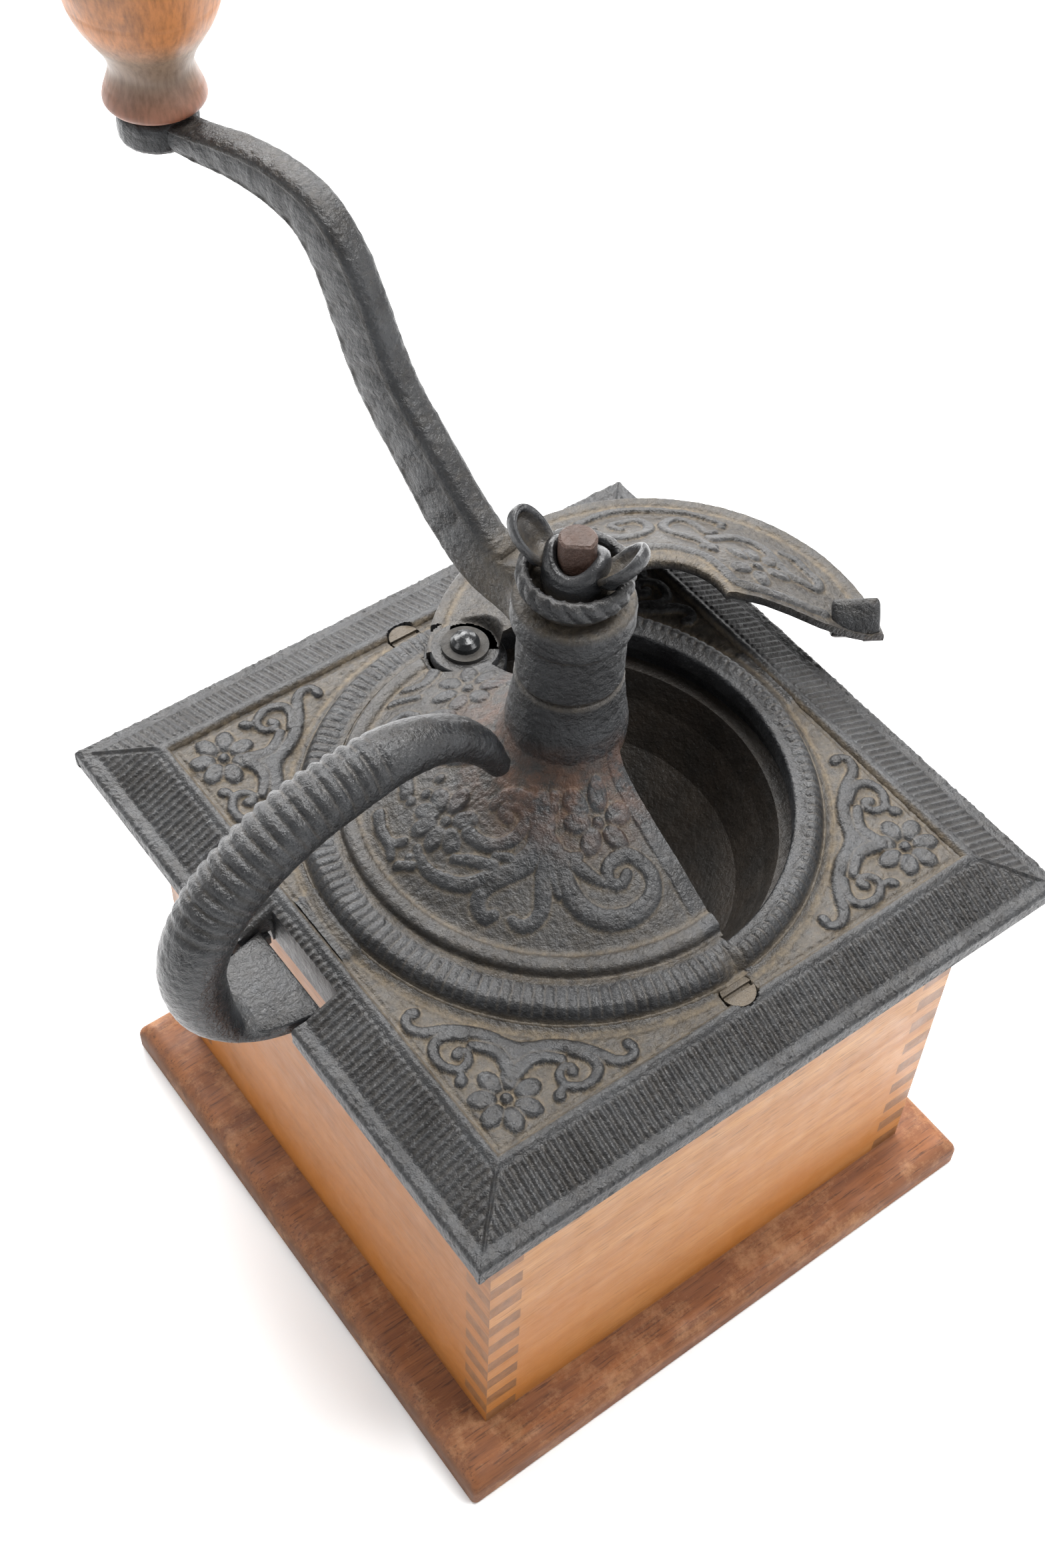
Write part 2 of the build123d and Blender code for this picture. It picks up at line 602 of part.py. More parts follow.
def in_crank_plane(shape):
    """Stand an outline drawn as (reach, height) up in the crank's vertical plane."""
    return Rot(0, 0, CRANK_AZIMUTH) * Rot(90, 0, 0) * shape


def crank_arm():
    upper, lower = arm_outline()
    edges = [Spline(*upper), Spline(*lower)]
    ends = [*Polyline(upper[0], lower[0]).edges(), *Polyline(upper[-1], lower[-1]).edges()]
    outline = make_face(edges + ends)
    bar = extrude(outline, ARM_THICK / 2, both=True)
    bar = fillet(bar.edges().filter_by(GeomType.BSPLINE), 2.4)
    arm = in_crank_plane(bar)
    pad_x, pad_y = polar(PAD_REACH, CRANK_AZIMUTH)
    arm -= rod(pad_x, pad_y, PAD_TOP, CUT_HIGH, PAD_R + 1.2)
    arm += rod(pad_x, pad_y, PAD_TOP - PAD_THICK, PAD_TOP, PAD_R)
    arm -= rod(pad_x, pad_y, PAD_TOP - PAD_THICK - 4, PAD_TOP - PAD_THICK, 4.6)
    arm -= rod(0, 0, HUB_TOP, CUT_HIGH, 16.0)
    arm += rod(0, 0, HUB_UNDER, HUB_TOP, HUB_R) + rod(0, 0, STRAP_UNDER, HUB_TOP, STRAP_R)
    arm -= with_flat(SHAFT_HOLE_R, HUB_UNDER - 1, HUB_TOP + 1, FLAT_DEPTH)
    return arm - bore(pad_x, pad_y, PIN_R)


KNOB_UNDER = PAD_TOP + 1.4
KNOB_HIGH = 60.0


def crank_knob():
    outline = [(10.8, 0), (11.8, 2.6), (11.9, 6.0), (11.2, 10.4), (10.3, 15.0), (10.6, 19.5),
               (12.4, 24.6), (15.2, 29.4), (17.6, 34.4), (18.9, 39.4), (18.7, 45.0), (16.4, 51.4),
               (11.6, 57.0), (6.4, KNOB_HIGH)]
    knob = turned(outline, smooth=True)
    knob -= bore(0, 0, PIN_R + 0.1)
    knob -= rod(0, 0, KNOB_HIGH - 4.0, KNOB_HIGH + 1, 5.4)
    x, y = polar(PAD_REACH, CRANK_AZIMUTH)
    return Pos(x, y, KNOB_UNDER) * knob


def knob_pin():
    x, y = polar(PAD_REACH, CRANK_AZIMUTH)
    under = PAD_TOP - PAD_THICK
    head = KNOB_UNDER + KNOB_HIGH - 3.7
    outline = [(0, under - 1.2), (3.4, under - 1.2), (4.2, under - 0.6), (4.2, under), (PIN_R, under),
               (PIN_R, head), (5.0, head), (5.0, head + 1.2), (3.2, head + 2.6), (0, head + 3.0)]
    return Pos(x, y, 0) * turned(outline)


def knob_washer():
    x, y = polar(PAD_REACH, CRANK_AZIMUTH)
    return rod(x, y, PAD_TOP, PAD_TOP + 1.0, 7.5) - bore(x, y, PIN_R)


# --------------------------------------------------------- grind adjustment

def adjusting_collar():
    outside = [(SHAFT_HOLE_R, COLLAR_UNDER), (9.6, COLLAR_UNDER), (10.0, 206.8), (12.2, 208.8),
               (12.5, 211.4), (11.8, COLLAR_TOP)]
    cup = [(COLLAR_CUP_R + 0.4, COLLAR_TOP), (COLLAR_CUP_R, 212.6), (COLLAR_CUP_R, COLLAR_CUP_FLOOR),
           (SHAFT_HOLE_R, COLLAR_CUP_FLOOR)]
    return turned(outside + cup)


def wing_scroll():
    """One scrolled wing: a ribbon that leaves the hub, rises and curls back in."""
    line = Spline((5.9, 0, 212.6), (9.2, 0, 214.8), (11.2, 0, 216.4), (11.8, 0, 219.4), (10.4, 0, 222.0),
                  (8.2, 0, 221.8), (7.0, 0, 219.8), (7.8, 0, 218.2))
    start = Plane(origin=line @ 0, x_dir=(0, 1, 0), z_dir=line % 0)
    return sweep(start * Rectangle(WING_WIDTH, WING_THICK), path=line)


def wing_nut():
    hub = turned([(0, WING_UNDER), (WING_HUB_R, WING_UNDER), (WING_HUB_R, 212.6), (6.6, WING_TOP),
                  (0, WING_TOP)])
    nut = hub + wing_scroll() + Rot(0, 0, 180) * wing_scroll()
    nut -= bore(0, 0, SHAFT_HOLE_R)
    return Rot(0, 0, WING_AZIMUTH) * nut


def base_screws():
    return Compound([wood_screw(x, y, BASE_SCREW_HEAD, BASE_SCREW_TIP, SCREW_HEAD_R)
                     for x, y in BASE_SCREW_PLACES])


PIECES = {
    "base_board": base_board,
    "board_front": board_front,
    "board_back": board_back,
    "board_left": lambda: board_along_y(-BOX_HALF, -INSIDE_HALF),
    "board_right": lambda: board_along_y(INSIDE_HALF, BOX_HALF),
    "base_screws": base_screws,
    "drawer_front": drawer_front,
    "drawer_side_left": lambda: drawer_side(-DRAWER_HALF),
    "drawer_side_right": lambda: drawer_side(DRAWER_HALF - DRAWER_SIDE_THICK),
    "drawer_back": drawer_back,
    "drawer_bottom": drawer_bottom,
    "drawer_knob": drawer_knob,
    "drawer_knob_screw": drawer_knob_screw,
    "top_plate": top_plate,
    "plate_screws": plate_screws,
    "carrying_handle": carrying_handle,
    "handle_screws": handle_screws,
    "hopper_lid": hopper_lid,
    "lid_rivet": lid_rivet,
    "lid_washer": lid_washer,
    "hopper_bowl": hopper_bowl,
    "bowl_screws": bowl_screws,
    "outer_burr": outer_burr,
    "inner_burr": inner_burr,
    "burr_pin": burr_pin,
    "bridge": bridge,
    "bridge_screws": bridge_screws,
    "shaft": shaft,
    "crank_arm": crank_arm,
    "crank_knob": crank_knob,
    "knob_pin": knob_pin,
    "knob_washer": knob_washer,
    "adjusting_collar": adjusting_collar,
    "wing_nut": wing_nut,
}

for node, make in PIECES.items():
    save(node, make())
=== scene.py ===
import bpy
import bmesh
import math
import numpy as np
from mathutils import Matrix, Vector


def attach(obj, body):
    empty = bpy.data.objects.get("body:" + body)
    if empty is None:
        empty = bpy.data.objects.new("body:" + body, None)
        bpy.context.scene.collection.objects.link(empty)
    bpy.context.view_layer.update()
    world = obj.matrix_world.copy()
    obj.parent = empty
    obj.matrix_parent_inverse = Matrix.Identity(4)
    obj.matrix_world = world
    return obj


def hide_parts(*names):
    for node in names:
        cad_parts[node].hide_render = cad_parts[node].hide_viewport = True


# Antique coffee mill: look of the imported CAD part. Lengths in the mesh code are millimetres.

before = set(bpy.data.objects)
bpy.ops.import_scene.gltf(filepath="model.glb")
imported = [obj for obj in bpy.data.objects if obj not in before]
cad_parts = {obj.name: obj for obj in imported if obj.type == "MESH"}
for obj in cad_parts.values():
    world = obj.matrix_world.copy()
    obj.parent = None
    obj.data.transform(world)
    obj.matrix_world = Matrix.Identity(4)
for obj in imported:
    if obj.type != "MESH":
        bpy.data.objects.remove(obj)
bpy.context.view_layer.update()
MM = 0.001

# ---- shapes shared with the CAD part
PANEL_HALF = 65.2
PANEL_TOP = 136.0
PANEL_UNDER = 132.5
PANEL_HOLE_R = 59.2
PANEL_STEPS = 200
NOTCH_SIDE = 13.1
NOTCH_INNER = 70.4
PLATE_SCREW_Y = 63.5
SCREW_SEAT_Z = PANEL_TOP - 1.9
SCREW_SEAT_R = 4.3
DOME_CUT_X = 4.5
RIVET_X = 6.0
RIVET_Y = 46.5
LID_UNDER = 141.4
LID_TOP = 144.0
LID_CUT_X = 5.0
LID_OPEN = math.radians(58.0)
TAB_Y = -48.9
TAB_HALF_WIDE = 6.0
CRANK_AZIMUTH = math.radians(102.0)
WING_AZIMUTH = math.radians(-60.6)


# ---- curves and numbers

def ease(t):
    t = np.clip(t, 0.0, 1.0)
    return t * t * (3.0 - 2.0 * t)


def ridge(distance, width):
    """1 where distance is 0, falling off smoothly to both sides."""
    return np.exp(-(distance / width) ** 2)


def squared(value, power):
    """Sine or cosine with its sign kept and its middle filled out, for rounded box sections."""
    return np.sign(value) * np.abs(value) ** power


def around_z(reach, sideways, z, azimuth):
    """Points given by reach along the azimuth, distance to its side, and height."""
    c, s = math.cos(azimuth), math.sin(azimuth)
    return np.stack([reach * c - sideways * s, reach * s + sideways * c, z], -1)


def full_turn(count):
    return np.linspace(0, 2 * math.pi, count, endpoint=False)[None, :]


def columns(outline):
    """The two columns of a list of pairs, each ready to be spread over a grid."""
    outline = np.asarray(outline, float)
    return outline[:, :1], outline[:, 1:2]


def cell_middles(grid):
    """Value in the middle of each cell of a grid of points."""
    return 0.5 * (grid[1:, 1:] + grid[:-1, :-1])


def curve(points, per_span=8):
    """Smooth line through the points, in any number of dimensions."""
    p = np.array(points, float)
    p = np.vstack([2 * p[0] - p[1], p, 2 * p[-1] - p[-2]])
    t = np.linspace(0, 1, per_span, endpoint=False)[:, None]
    spans = []
    for i in range(len(p) - 3):
        a, b, c, d = p[i:i + 4]
        bend = (2 * a - 5 * b + 4 * c - d) * t ** 2 + (3 * b - a - 3 * c + d) * t ** 3
        spans.append(0.5 * (2 * b + (c - a) * t + bend))
    return np.vstack(spans + [p[-2:-1]])


def even(points, step, dims=3):
    """The same line with points spaced evenly along it."""
    points = np.asarray(points, float)
    gaps = np.linalg.norm(np.diff(points[:, :dims], axis=0), axis=1)
    along = np.concatenate([[0.0], np.cumsum(gaps)])
    count = max(2, int(round(along[-1] / step)) + 1)
    at = np.linspace(0, along[-1], count)
    return at, np.stack([np.interp(at, along, column) for column in points.T], -1)


def blurred(grid, times):
    for _ in range(times):
        for axis in (0, 1):
            padded = np.concatenate([grid.take([0], axis), grid, grid.take([-1], axis)], axis)
            n = grid.shape[axis]
            grid = (padded.take(range(0, n), axis) + 2 * grid + padded.take(range(2, n + 2), axis)) / 4
    return grid


def casting(shape, seed, soften=2):
    """Fine unevenness of a sand casting, about -1 to 1, with some slower waves in it.

    Each piece has its own seed, so no two pieces repeat each other.
    """
    fine = blurred(np.random.default_rng(seed).normal(size=shape), soften)
    slow = blurred(np.random.default_rng(seed + 1).normal(size=shape), soften * 6)
    return 0.6 * fine / fine.std() + 0.5 * slow / slow.std()


def hollows(height, spread=7, gain=3.2):
    """1 where the surface lies well below its surroundings, 0 on top of things."""
    return np.clip((blurred(height, spread) - height) * gain, 0, 1)


# ---- mesh builders

def add_mesh(name, points, faces, material, marks=None, sharp=42.0):
    """Piece from points in millimetres. marks is the dust amount at each point."""
    points = np.asarray(points, float).reshape(-1, 3)
    used = np.zeros(len(points), bool)
    for group in faces:
        used[np.asarray(group).ravel()] = True
    place = np.cumsum(used) - 1
    flat = [face for group in faces for face in place[np.asarray(group)].tolist()]
    mesh = bpy.data.meshes.new(name)
    mesh.from_pydata((points[used] * MM).tolist(), [], flat)
    if marks is not None:
        attribute = mesh.attributes.new("dust", "FLOAT", "POINT")
        attribute.data.foreach_set("value", np.clip(marks, 0, 1).astype(np.float32).ravel()[used])
    work = bmesh.new()
    work.from_mesh(mesh)
    bmesh.ops.recalc_face_normals(work, faces=work.faces)
    work.to_mesh(mesh)
    work.free()
    mesh.polygons.foreach_set("use_smooth", [True] * len(mesh.polygons))
    mesh.set_sharp_from_angle(angle=math.radians(sharp))
    mesh.materials.append(material)
    obj = bpy.data.objects.new(name, mesh)
    bpy.context.scene.collection.objects.link(obj)
    body, slot, node = HOMES[material]
    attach(obj, body)
    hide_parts(node)


def slab(name, top, under, material, keep=None, marks=None, wrap=False, sharp=42.0):
    """Closed body between two grids of points. keep says which cells of the grid are there."""
    rows, cols = top.shape[:2]
    count = rows * cols
    index = np.arange(count).reshape(rows, cols)
    if wrap:
        index = np.hstack([index, index[:, :1]])
    a, b, c, d = index[:-1, :-1], index[1:, :-1], index[1:, 1:], index[:-1, 1:]
    if keep is None:
        keep = np.ones(a.shape, bool)
    faces = np.stack([a, b, c, d], -1)[keep]
    groups = [faces, faces[:, ::-1] + count]
    for start, end, shift, axis in ((a, b, 1, 1), (b, c, -1, 0), (c, d, -1, 1), (d, a, 1, 0)):
        beside = np.roll(keep, shift, axis)
        if axis == 0 or not wrap:
            border = 0 if shift == 1 else -1
            np.moveaxis(beside, axis, 0)[border] = False
        edge = keep & ~beside
        s, e = start[edge], end[edge]
        groups.append(np.stack([e, s, s + count, e + count], -1))
    points = np.concatenate([top.reshape(-1, 3), under.reshape(-1, 3)])
    if marks is not None:
        marks = np.concatenate([marks.ravel(), np.zeros(count)])
    add_mesh(name, points, groups, material, marks, sharp)


def skin(name, rings, material, loop=False, marks=None, sharp=42.0):
    """Body from rings of points: closed into a loop, or with a flat cap at both ends."""
    n, m = rings.shape[:2]
    index = np.arange(n * m).reshape(n, m)
    index = np.hstack([index, index[:, :1]])
    if loop:
        index = np.vstack([index, index[:1]])
    faces = np.stack([index[:-1, :-1], index[1:, :-1], index[1:, 1:], index[:-1, 1:]], -1)
    groups = [faces.reshape(-1, 4)]
    if not loop:
        groups += [index[:1, :-1], index[-1:, :-1]]
    add_mesh(name, rings, groups, material, marks, sharp)


AROUND = 160
AROUND_SMALL = 96
AROUND_COLLAR = 240
AROUND_HUB = 120


def lathe(name, outline, material, centre=(0.0, 0.0), around=AROUND, shape=None, sharp=42.0, marks=None):
    """Turned body. outline is (radius, z); shape(angle, radius, z) may push the radius in or out."""
    outline = np.asarray(outline, float)
    angle = full_turn(around)
    radius = np.repeat(outline[:, :1], around, 1)
    z = np.repeat(outline[:, 1:2], around, 1)
    if shape:
        radius, z = shape(angle, radius, z)
    rings = np.stack([centre[0] + radius * np.cos(angle), centre[1] + radius * np.sin(angle), z], -1)
    skin(name, rings, material, True, marks, sharp)


# ---- cast relief

def stroke(x, y, points, wide, narrow, high):
    """Rounded raised line, wide at its start and narrow at its end."""
    line = curve(points, 6)
    spans = len(line) - 1
    result = np.zeros_like(x)
    for i in range(spans):
        (ax, ay), (bx, by) = line[i], line[i + 1]
        near = (x > min(ax, bx) - wide) & (x < max(ax, bx) + wide)
        near &= (y > min(ay, by) - wide) & (y < max(ay, by) + wide)
        if not near.any():
            continue
        px, py = x[near] - ax, y[near] - ay
        dx, dy = bx - ax, by - ay
        t = np.clip((px * dx + py * dy) / (dx * dx + dy * dy), 0, 1)
        width = wide + (narrow - wide) * (i + t) / spans
        across = np.hypot(px - t * dx, py - t * dy) / width
        bump = high * (0.55 + 0.45 * width / wide) * np.clip(1 - across ** 3.4, 0, 1) ** 0.8
        result[near] = np.maximum(result[near], bump)
    return result


def blob(x, y, place, radius, high, toward=None, long=1.0):
    """Round or oval bump; an oval one points along the line from toward."""
    px, py = x - place[0], y - place[1]
    if toward is not None:
        dx, dy = place[0] - toward[0], place[1] - toward[1]
        size = math.hypot(dx, dy)
        dx, dy = dx / size, dy / size
        px, py = (px * dx + py * dy) / long, py * dx - px * dy
    across = np.hypot(px, py) / radius
    return high * np.clip(1 - across ** 3, 0, 1) ** 0.7


def flower(x, y, centre, petals, radius, high):
    result = blob(x, y, centre, radius * 0.62, high * 1.05)
    for place in petals:
        petal = blob(x, y, place, radius, high, centre, 1.38)
        dent = blob(x, y, place, radius * 0.55, high * 0.22, centre, 1.3)
        result = np.maximum(result, petal - dent)
    return result


def raised(x, y, strokes, high, spread=1.18):
    """Highest of many strokes; each is (half width at start, half width at end, points)."""
    result = np.zeros_like(x)
    for wide, narrow, points in strokes:
        result = np.maximum(result, stroke(x, y, points, wide * spread, narrow * spread, high))
    return result


# ---- materials

class Shader:
    """One material, and short ways to add nodes to it."""

    def __init__(self, name):
        self.material = bpy.data.materials.new(name)
        self.material.use_nodes = True
        self.tree = self.material.node_tree
        self.surface = self.tree.nodes["Principled BSDF"]
        self.coords = self.node("ShaderNodeTexCoord").outputs["Object"]

    def node(self, kind, **values):
        made = self.tree.nodes.new(kind)
        for key, value in values.items():
            setattr(made, key, value)
        return made

    def feed(self, socket, value):
        if isinstance(value, (int, float, tuple, list)):
            socket.default_value = value
        else:
            self.tree.links.new(value, socket)

    def set(self, name, value):
        self.feed(self.surface.inputs[name], value)

    def stretched(self, stretch):
        made = self.node("ShaderNodeMapping")
        self.feed(made.inputs["Vector"], self.coords)
        made.inputs["Scale"].default_value = stretch
        return made.outputs["Vector"]

    def noise(self, scale, detail=4.0, rough=0.55, where=None, twist=0.0):
        made = self.node("ShaderNodeTexNoise")
        made.inputs["Scale"].default_value = scale
        made.inputs["Detail"].default_value = detail
        made.inputs["Roughness"].default_value = rough
        made.inputs["Distortion"].default_value = twist
        self.feed(made.inputs["Vector"], self.coords if where is None else where)
        return made.outputs["Fac"]

    def ramp(self, value, *stops):
        made = self.node("ShaderNodeValToRGB")
        elements = made.color_ramp.elements
        while len(elements) < len(stops):
            elements.new(0.5)
        for element, (at, colour) in zip(elements, stops):
            element.position = at
            if isinstance(colour, (int, float)):
                colour = (colour, colour, colour)
            element.color = (*colour, 1.0)
        self.feed(made.inputs["Fac"], value)
        return made.outputs["Color"]

    def math(self, how, a, b=0.0, clamp=False):
        made = self.node("ShaderNodeMath", operation=how, use_clamp=clamp)
        self.feed(made.inputs[0], a)
        self.feed(made.inputs[1], b)
        return made.outputs[0]

    def mix(self, amount, first, second):
        """Blend of two colours. The Mix node's sockets share their names, so they go by number."""
        made = self.node("ShaderNodeMix", data_type="RGBA")
        self.feed(made.inputs[0], amount)
        self.feed(made.inputs[6], colour4(first))
        self.feed(made.inputs[7], colour4(second))
        return made.outputs[2]

    def product(self, *values):
        result = values[0]
        for value in values[1:]:
            result = self.math("MULTIPLY", result, value)
        return result

    def split(self, vector):
        made = self.node("ShaderNodeSeparateXYZ")
        self.feed(made.inputs[0], vector)
        return made.outputs

    def bump(self, height, strength, distance, before=None):
        made = self.node("ShaderNodeBump")
        made.inputs["Strength"].default_value = strength
        made.inputs["Distance"].default_value = distance
        self.feed(made.inputs["Height"], height)
        if before is not None:
            self.feed(made.inputs["Normal"], before)
        return made.outputs["Normal"]


def colour4(value):
    """A colour of three numbers gets its fourth; sockets and numbers pass through."""
    if isinstance(value, tuple) and len(value) == 3:
        return (*value, 1.0)
    return value


def darker(colour, share):
    return tuple(channel * share for channel in colour)


IRON_DARK = (0.007, 0.0075, 0.009)
IRON_WORN = (0.028, 0.030, 0.033)
IRON_SPECK = (0.075, 0.077, 0.080)
DUST = (0.200, 0.155, 0.098)
DUST_DARK = (0.105, 0.080, 0.052)
DUST_ROUGH = (0.85, 0.85, 0.85)
RUST = (0.150, 0.062, 0.028)
RUST_FOOT_Z = 0.130


def iron(name, dark=IRON_DARK, worn=IRON_WORN, dusty=0.85, film=0.25, rusty=0.0, rough=(0.28, 0.46),
         grain=0.5):
    """Old black cast iron: dust in the hollows and a thin film on faces that look up.

    dusty, film and rusty are shares from 0 to 1. rough is the lowest and highest roughness.
    """
    s = Shader(name)
    patches = s.noise(110, 5, 0.6)
    grainy = s.noise(1500, 3, 0.6)
    base = s.mix(s.ramp(patches, (0.35, 0.0), (0.7, 1.0)), dark, worn)
    base = s.mix(s.ramp(grainy, (0.62, 0.0), (0.75, 0.55)), base, IRON_SPECK)
    up = s.split(s.node("ShaderNodeNewGeometry").outputs["Normal"])[2]
    film_here = s.product(s.ramp(up, (0.3, 0.0), (1.0, 1.0)), film,
                          s.ramp(s.noise(260, 6, 0.7), (0.35, 0.2), (0.7, 1.0)))
    mark = s.node("ShaderNodeAttribute", attribute_name="dust").outputs["Fac"]
    mark = s.product(mark, s.ramp(s.noise(420, 5, 0.75), (0.3, 0.35), (0.62, 1.0)), dusty)
    amount = s.math("ADD", mark, film_here, clamp=True)
    tan = s.mix(s.ramp(s.noise(700, 4), (0.35, 0.0), (0.7, 1.0)), DUST, DUST_DARK)
    colour = s.mix(amount, base, tan)
    if rusty:
        x, y, z = s.split(s.coords)
        from_axis = s.math("SQRT", s.math("ADD", s.product(x, x), s.product(y, y)))
        near = s.ramp(s.product(from_axis, 20.0), (0.20, 1.0), (0.62, 0.0))
        low = s.ramp(s.product(s.math("SUBTRACT", z, RUST_FOOT_Z), 20.0), (0.62, 1.0), (0.85, 0.0))
        spots = s.ramp(s.noise(150, 6, 0.7), (0.42, 0.0), (0.62, 1.0))
        colour = s.mix(s.product(near, low, spots, rusty), colour, RUST)
    s.set("Base Color", colour)
    roughness = s.ramp(s.noise(300, 4), (0.3, rough[0]), (0.7, rough[1]))
    s.set("Roughness", s.mix(amount, roughness, DUST_ROUGH))
    s.set("Metallic", 0.10)
    first = s.bump(s.noise(600, 4, 0.65), min(1.0, grain * 1.8), 0.0007)
    s.set("Normal", s.bump(grainy, grain, 0.0002, first))
    return s.material


def wood(name, along, colours, streaks=1.0, low_glow=None, worn=None, rough=0.42):
    """Varnished wood with its grain along x, y or z; cut ends are darker.

    colours are pale wood, deep wood and cut end. low_glow tints the foot of the box, and worn
    is bare wood that shows through the scuffs.
    """
    pale, deep, end = colours
    s = Shader(name)
    stretch = {"x": (1.0, 14.0, 14.0), "y": (14.0, 1.0, 14.0), "z": (14.0, 14.0, 1.0)}[along]
    lengthwise = s.stretched(stretch)
    broad = s.noise(16, 4, 0.6, lengthwise, 0.5)
    fine = s.noise(110, 5, 0.7, lengthwise, 0.2)
    colour = s.mix(s.ramp(broad, (0.32, 0.0), (0.68, 1.0)), pale, deep)
    lines = s.ramp(fine, (0.48, 0.0), (0.72, 0.55 * streaks))
    colour = s.mix(lines, colour, darker(deep, 0.50))
    short = s.stretched(tuple(0.4 * v for v in stretch))
    flecks = s.ramp(s.noise(300, 3, 0.6, short), (0.56, 0.0), (0.66, 0.75))
    colour = s.mix(flecks, colour, darker(deep, 0.40))
    if low_glow:
        z = s.split(s.coords)[2]
        blend = s.ramp(s.product(z, 8.0), (0.15, 1.0), (0.75, 0.0))
        patchy = s.product(blend, s.ramp(s.noise(28, 3, 0.6), (0.3, 0.4), (0.7, 1.0)))
        colour = s.mix(patchy, colour, low_glow)
    normal = s.node("ShaderNodeNewGeometry").outputs["True Normal"]
    facing = s.math("ABSOLUTE", s.split(normal)["xyz".index(along)])
    ends = s.ramp(facing, (0.75, 0.0), (0.95, 1.0))
    pores = s.ramp(s.noise(330, 4, 0.6), (0.3, 0.0), (0.7, 1.0))
    rings = s.mix(pores, end, darker(end, 0.6))
    colour = s.mix(ends, colour, rings)
    if worn:
        scuffs = s.ramp(s.noise(75, 8, 0.8), (0.50, 0.0), (0.68, 0.85))
        colour = s.mix(scuffs, colour, worn)
    s.set("Base Color", colour)
    s.set("Roughness", s.ramp(s.noise(130, 4), (0.3, rough - 0.08), (0.75, rough + 0.14)))
    s.set("Normal", s.bump(fine, 0.22, 0.0002))
    return s.material


PLATE = iron("plate_iron", rusty=0.65, dusty=0.72, film=0.08)
HANDLE = iron("handle_iron", dusty=0.5, film=0.08, rough=(0.20, 0.36))
LID = iron("lid_iron", dusty=0.85, film=0.14)
CRANK = iron("crank_iron", dusty=0.55, film=0.14, rough=(0.30, 0.46))
COLLAR = iron("collar_iron", dusty=0.7, film=0.10, rough=(0.28, 0.42))
WING = iron("wing_iron", worn=(0.06, 0.062, 0.066), dusty=0.5, film=0.05, rough=(0.22, 0.36), grain=0.25)
BOWL = iron("bowl_iron", (0.012, 0.010, 0.008), (0.024, 0.018, 0.013), 0.2, 0.02, 0.0, (0.45, 0.62), 0.35)
WASHER = iron("washer_steel", (0.010, 0.010, 0.010), (0.022, 0.020, 0.018), 0.4, 0.12, 0.0, (0.6, 0.8), 0.4)
RIVET = iron("rivet_steel", (0.008, 0.009, 0.010), (0.02, 0.021, 0.023), 0.1, 0.02, 0.0, (0.14, 0.26), 0.1)
SCREW = iron("screw_steel", (0.034, 0.027, 0.019), (0.085, 0.066, 0.045), 0.4, 0.25, 0.0, (0.4, 0.6), 0.6)
SHAFT = iron("shaft_steel", (0.040, 0.022, 0.016), (0.085, 0.045, 0.032), 0.1, 0.05, 0.0, (0.45, 0.7), 0.6)
BURR = iron("burr_iron", (0.05, 0.048, 0.046), (0.10, 0.095, 0.09), 0.2, 0.1, 0.0, (0.3, 0.5), 0.4)
BRIDGE = iron("bridge_iron", (0.03, 0.027, 0.025), (0.07, 0.06, 0.055), 0.2, 0.1, 0.0, (0.4, 0.6), 0.6)

BOX_WOOD = [(0.530, 0.275, 0.108), (0.360, 0.155, 0.048), (0.275, 0.120, 0.044)]
# The left and right boards get a darker copy of the box wood: painted shade that evens out the extra lamp
# light on those sides.
BOX_SIDE_WOOD_PAINTED_SHADE = [(0.350, 0.150, 0.050), (0.250, 0.098, 0.029), (0.275, 0.120, 0.044)]
BASE_WOOD = [(0.240, 0.086, 0.026), (0.140, 0.046, 0.014), (0.160, 0.062, 0.022)]
BASE_BARE = (0.360, 0.180, 0.080)
DRAWER_WOOD = [(0.500, 0.310, 0.160), (0.420, 0.240, 0.110), (0.260, 0.140, 0.070)]
PULL_WOOD = [(0.300, 0.120, 0.045), (0.190, 0.075, 0.030), (0.160, 0.070, 0.030)]
BOX_LOW = (0.400, 0.140, 0.022)
BOX_X = wood("box_wood_x", "x", BOX_WOOD, low_glow=BOX_LOW)
# Side boards: the darker copy of the box wood, painted shade.
BOX_Y_PAINTED_SHADE = wood("box_wood_y_painted_shade", "y", BOX_SIDE_WOOD_PAINTED_SHADE, low_glow=BOX_LOW)
BASE = wood("base_wood", "x", BASE_WOOD, worn=BASE_BARE, rough=0.66)
DRAWER_Y = wood("drawer_wood_y", "y", DRAWER_WOOD, 0.8)
DRAWER_X = wood("drawer_wood_x", "x", DRAWER_WOOD, 0.8)
FRONT = wood("drawer_front_wood", "x", BOX_WOOD, 0.7, BOX_LOW)
PULL = wood("pull_wood", "y", PULL_WOOD, 0.8)

KNOB_FOOT_Z = 0.268
KNOB_LENGTHS = 16.6
KNOB_ZONES = [(0.0, (0.230, 0.080, 0.040)), (0.07, (0.220, 0.110, 0.070)),
              (0.13, (0.205, 0.140, 0.100)), (0.24, (0.215, 0.145, 0.095)),
              (0.34, (0.430, 0.165, 0.050)), (1.0, (0.450, 0.175, 0.055))]
KNOB_GRAIN = (0.075, 0.035, 0.018)
KNOB_STAIN = (0.060, 0.034, 0.022)


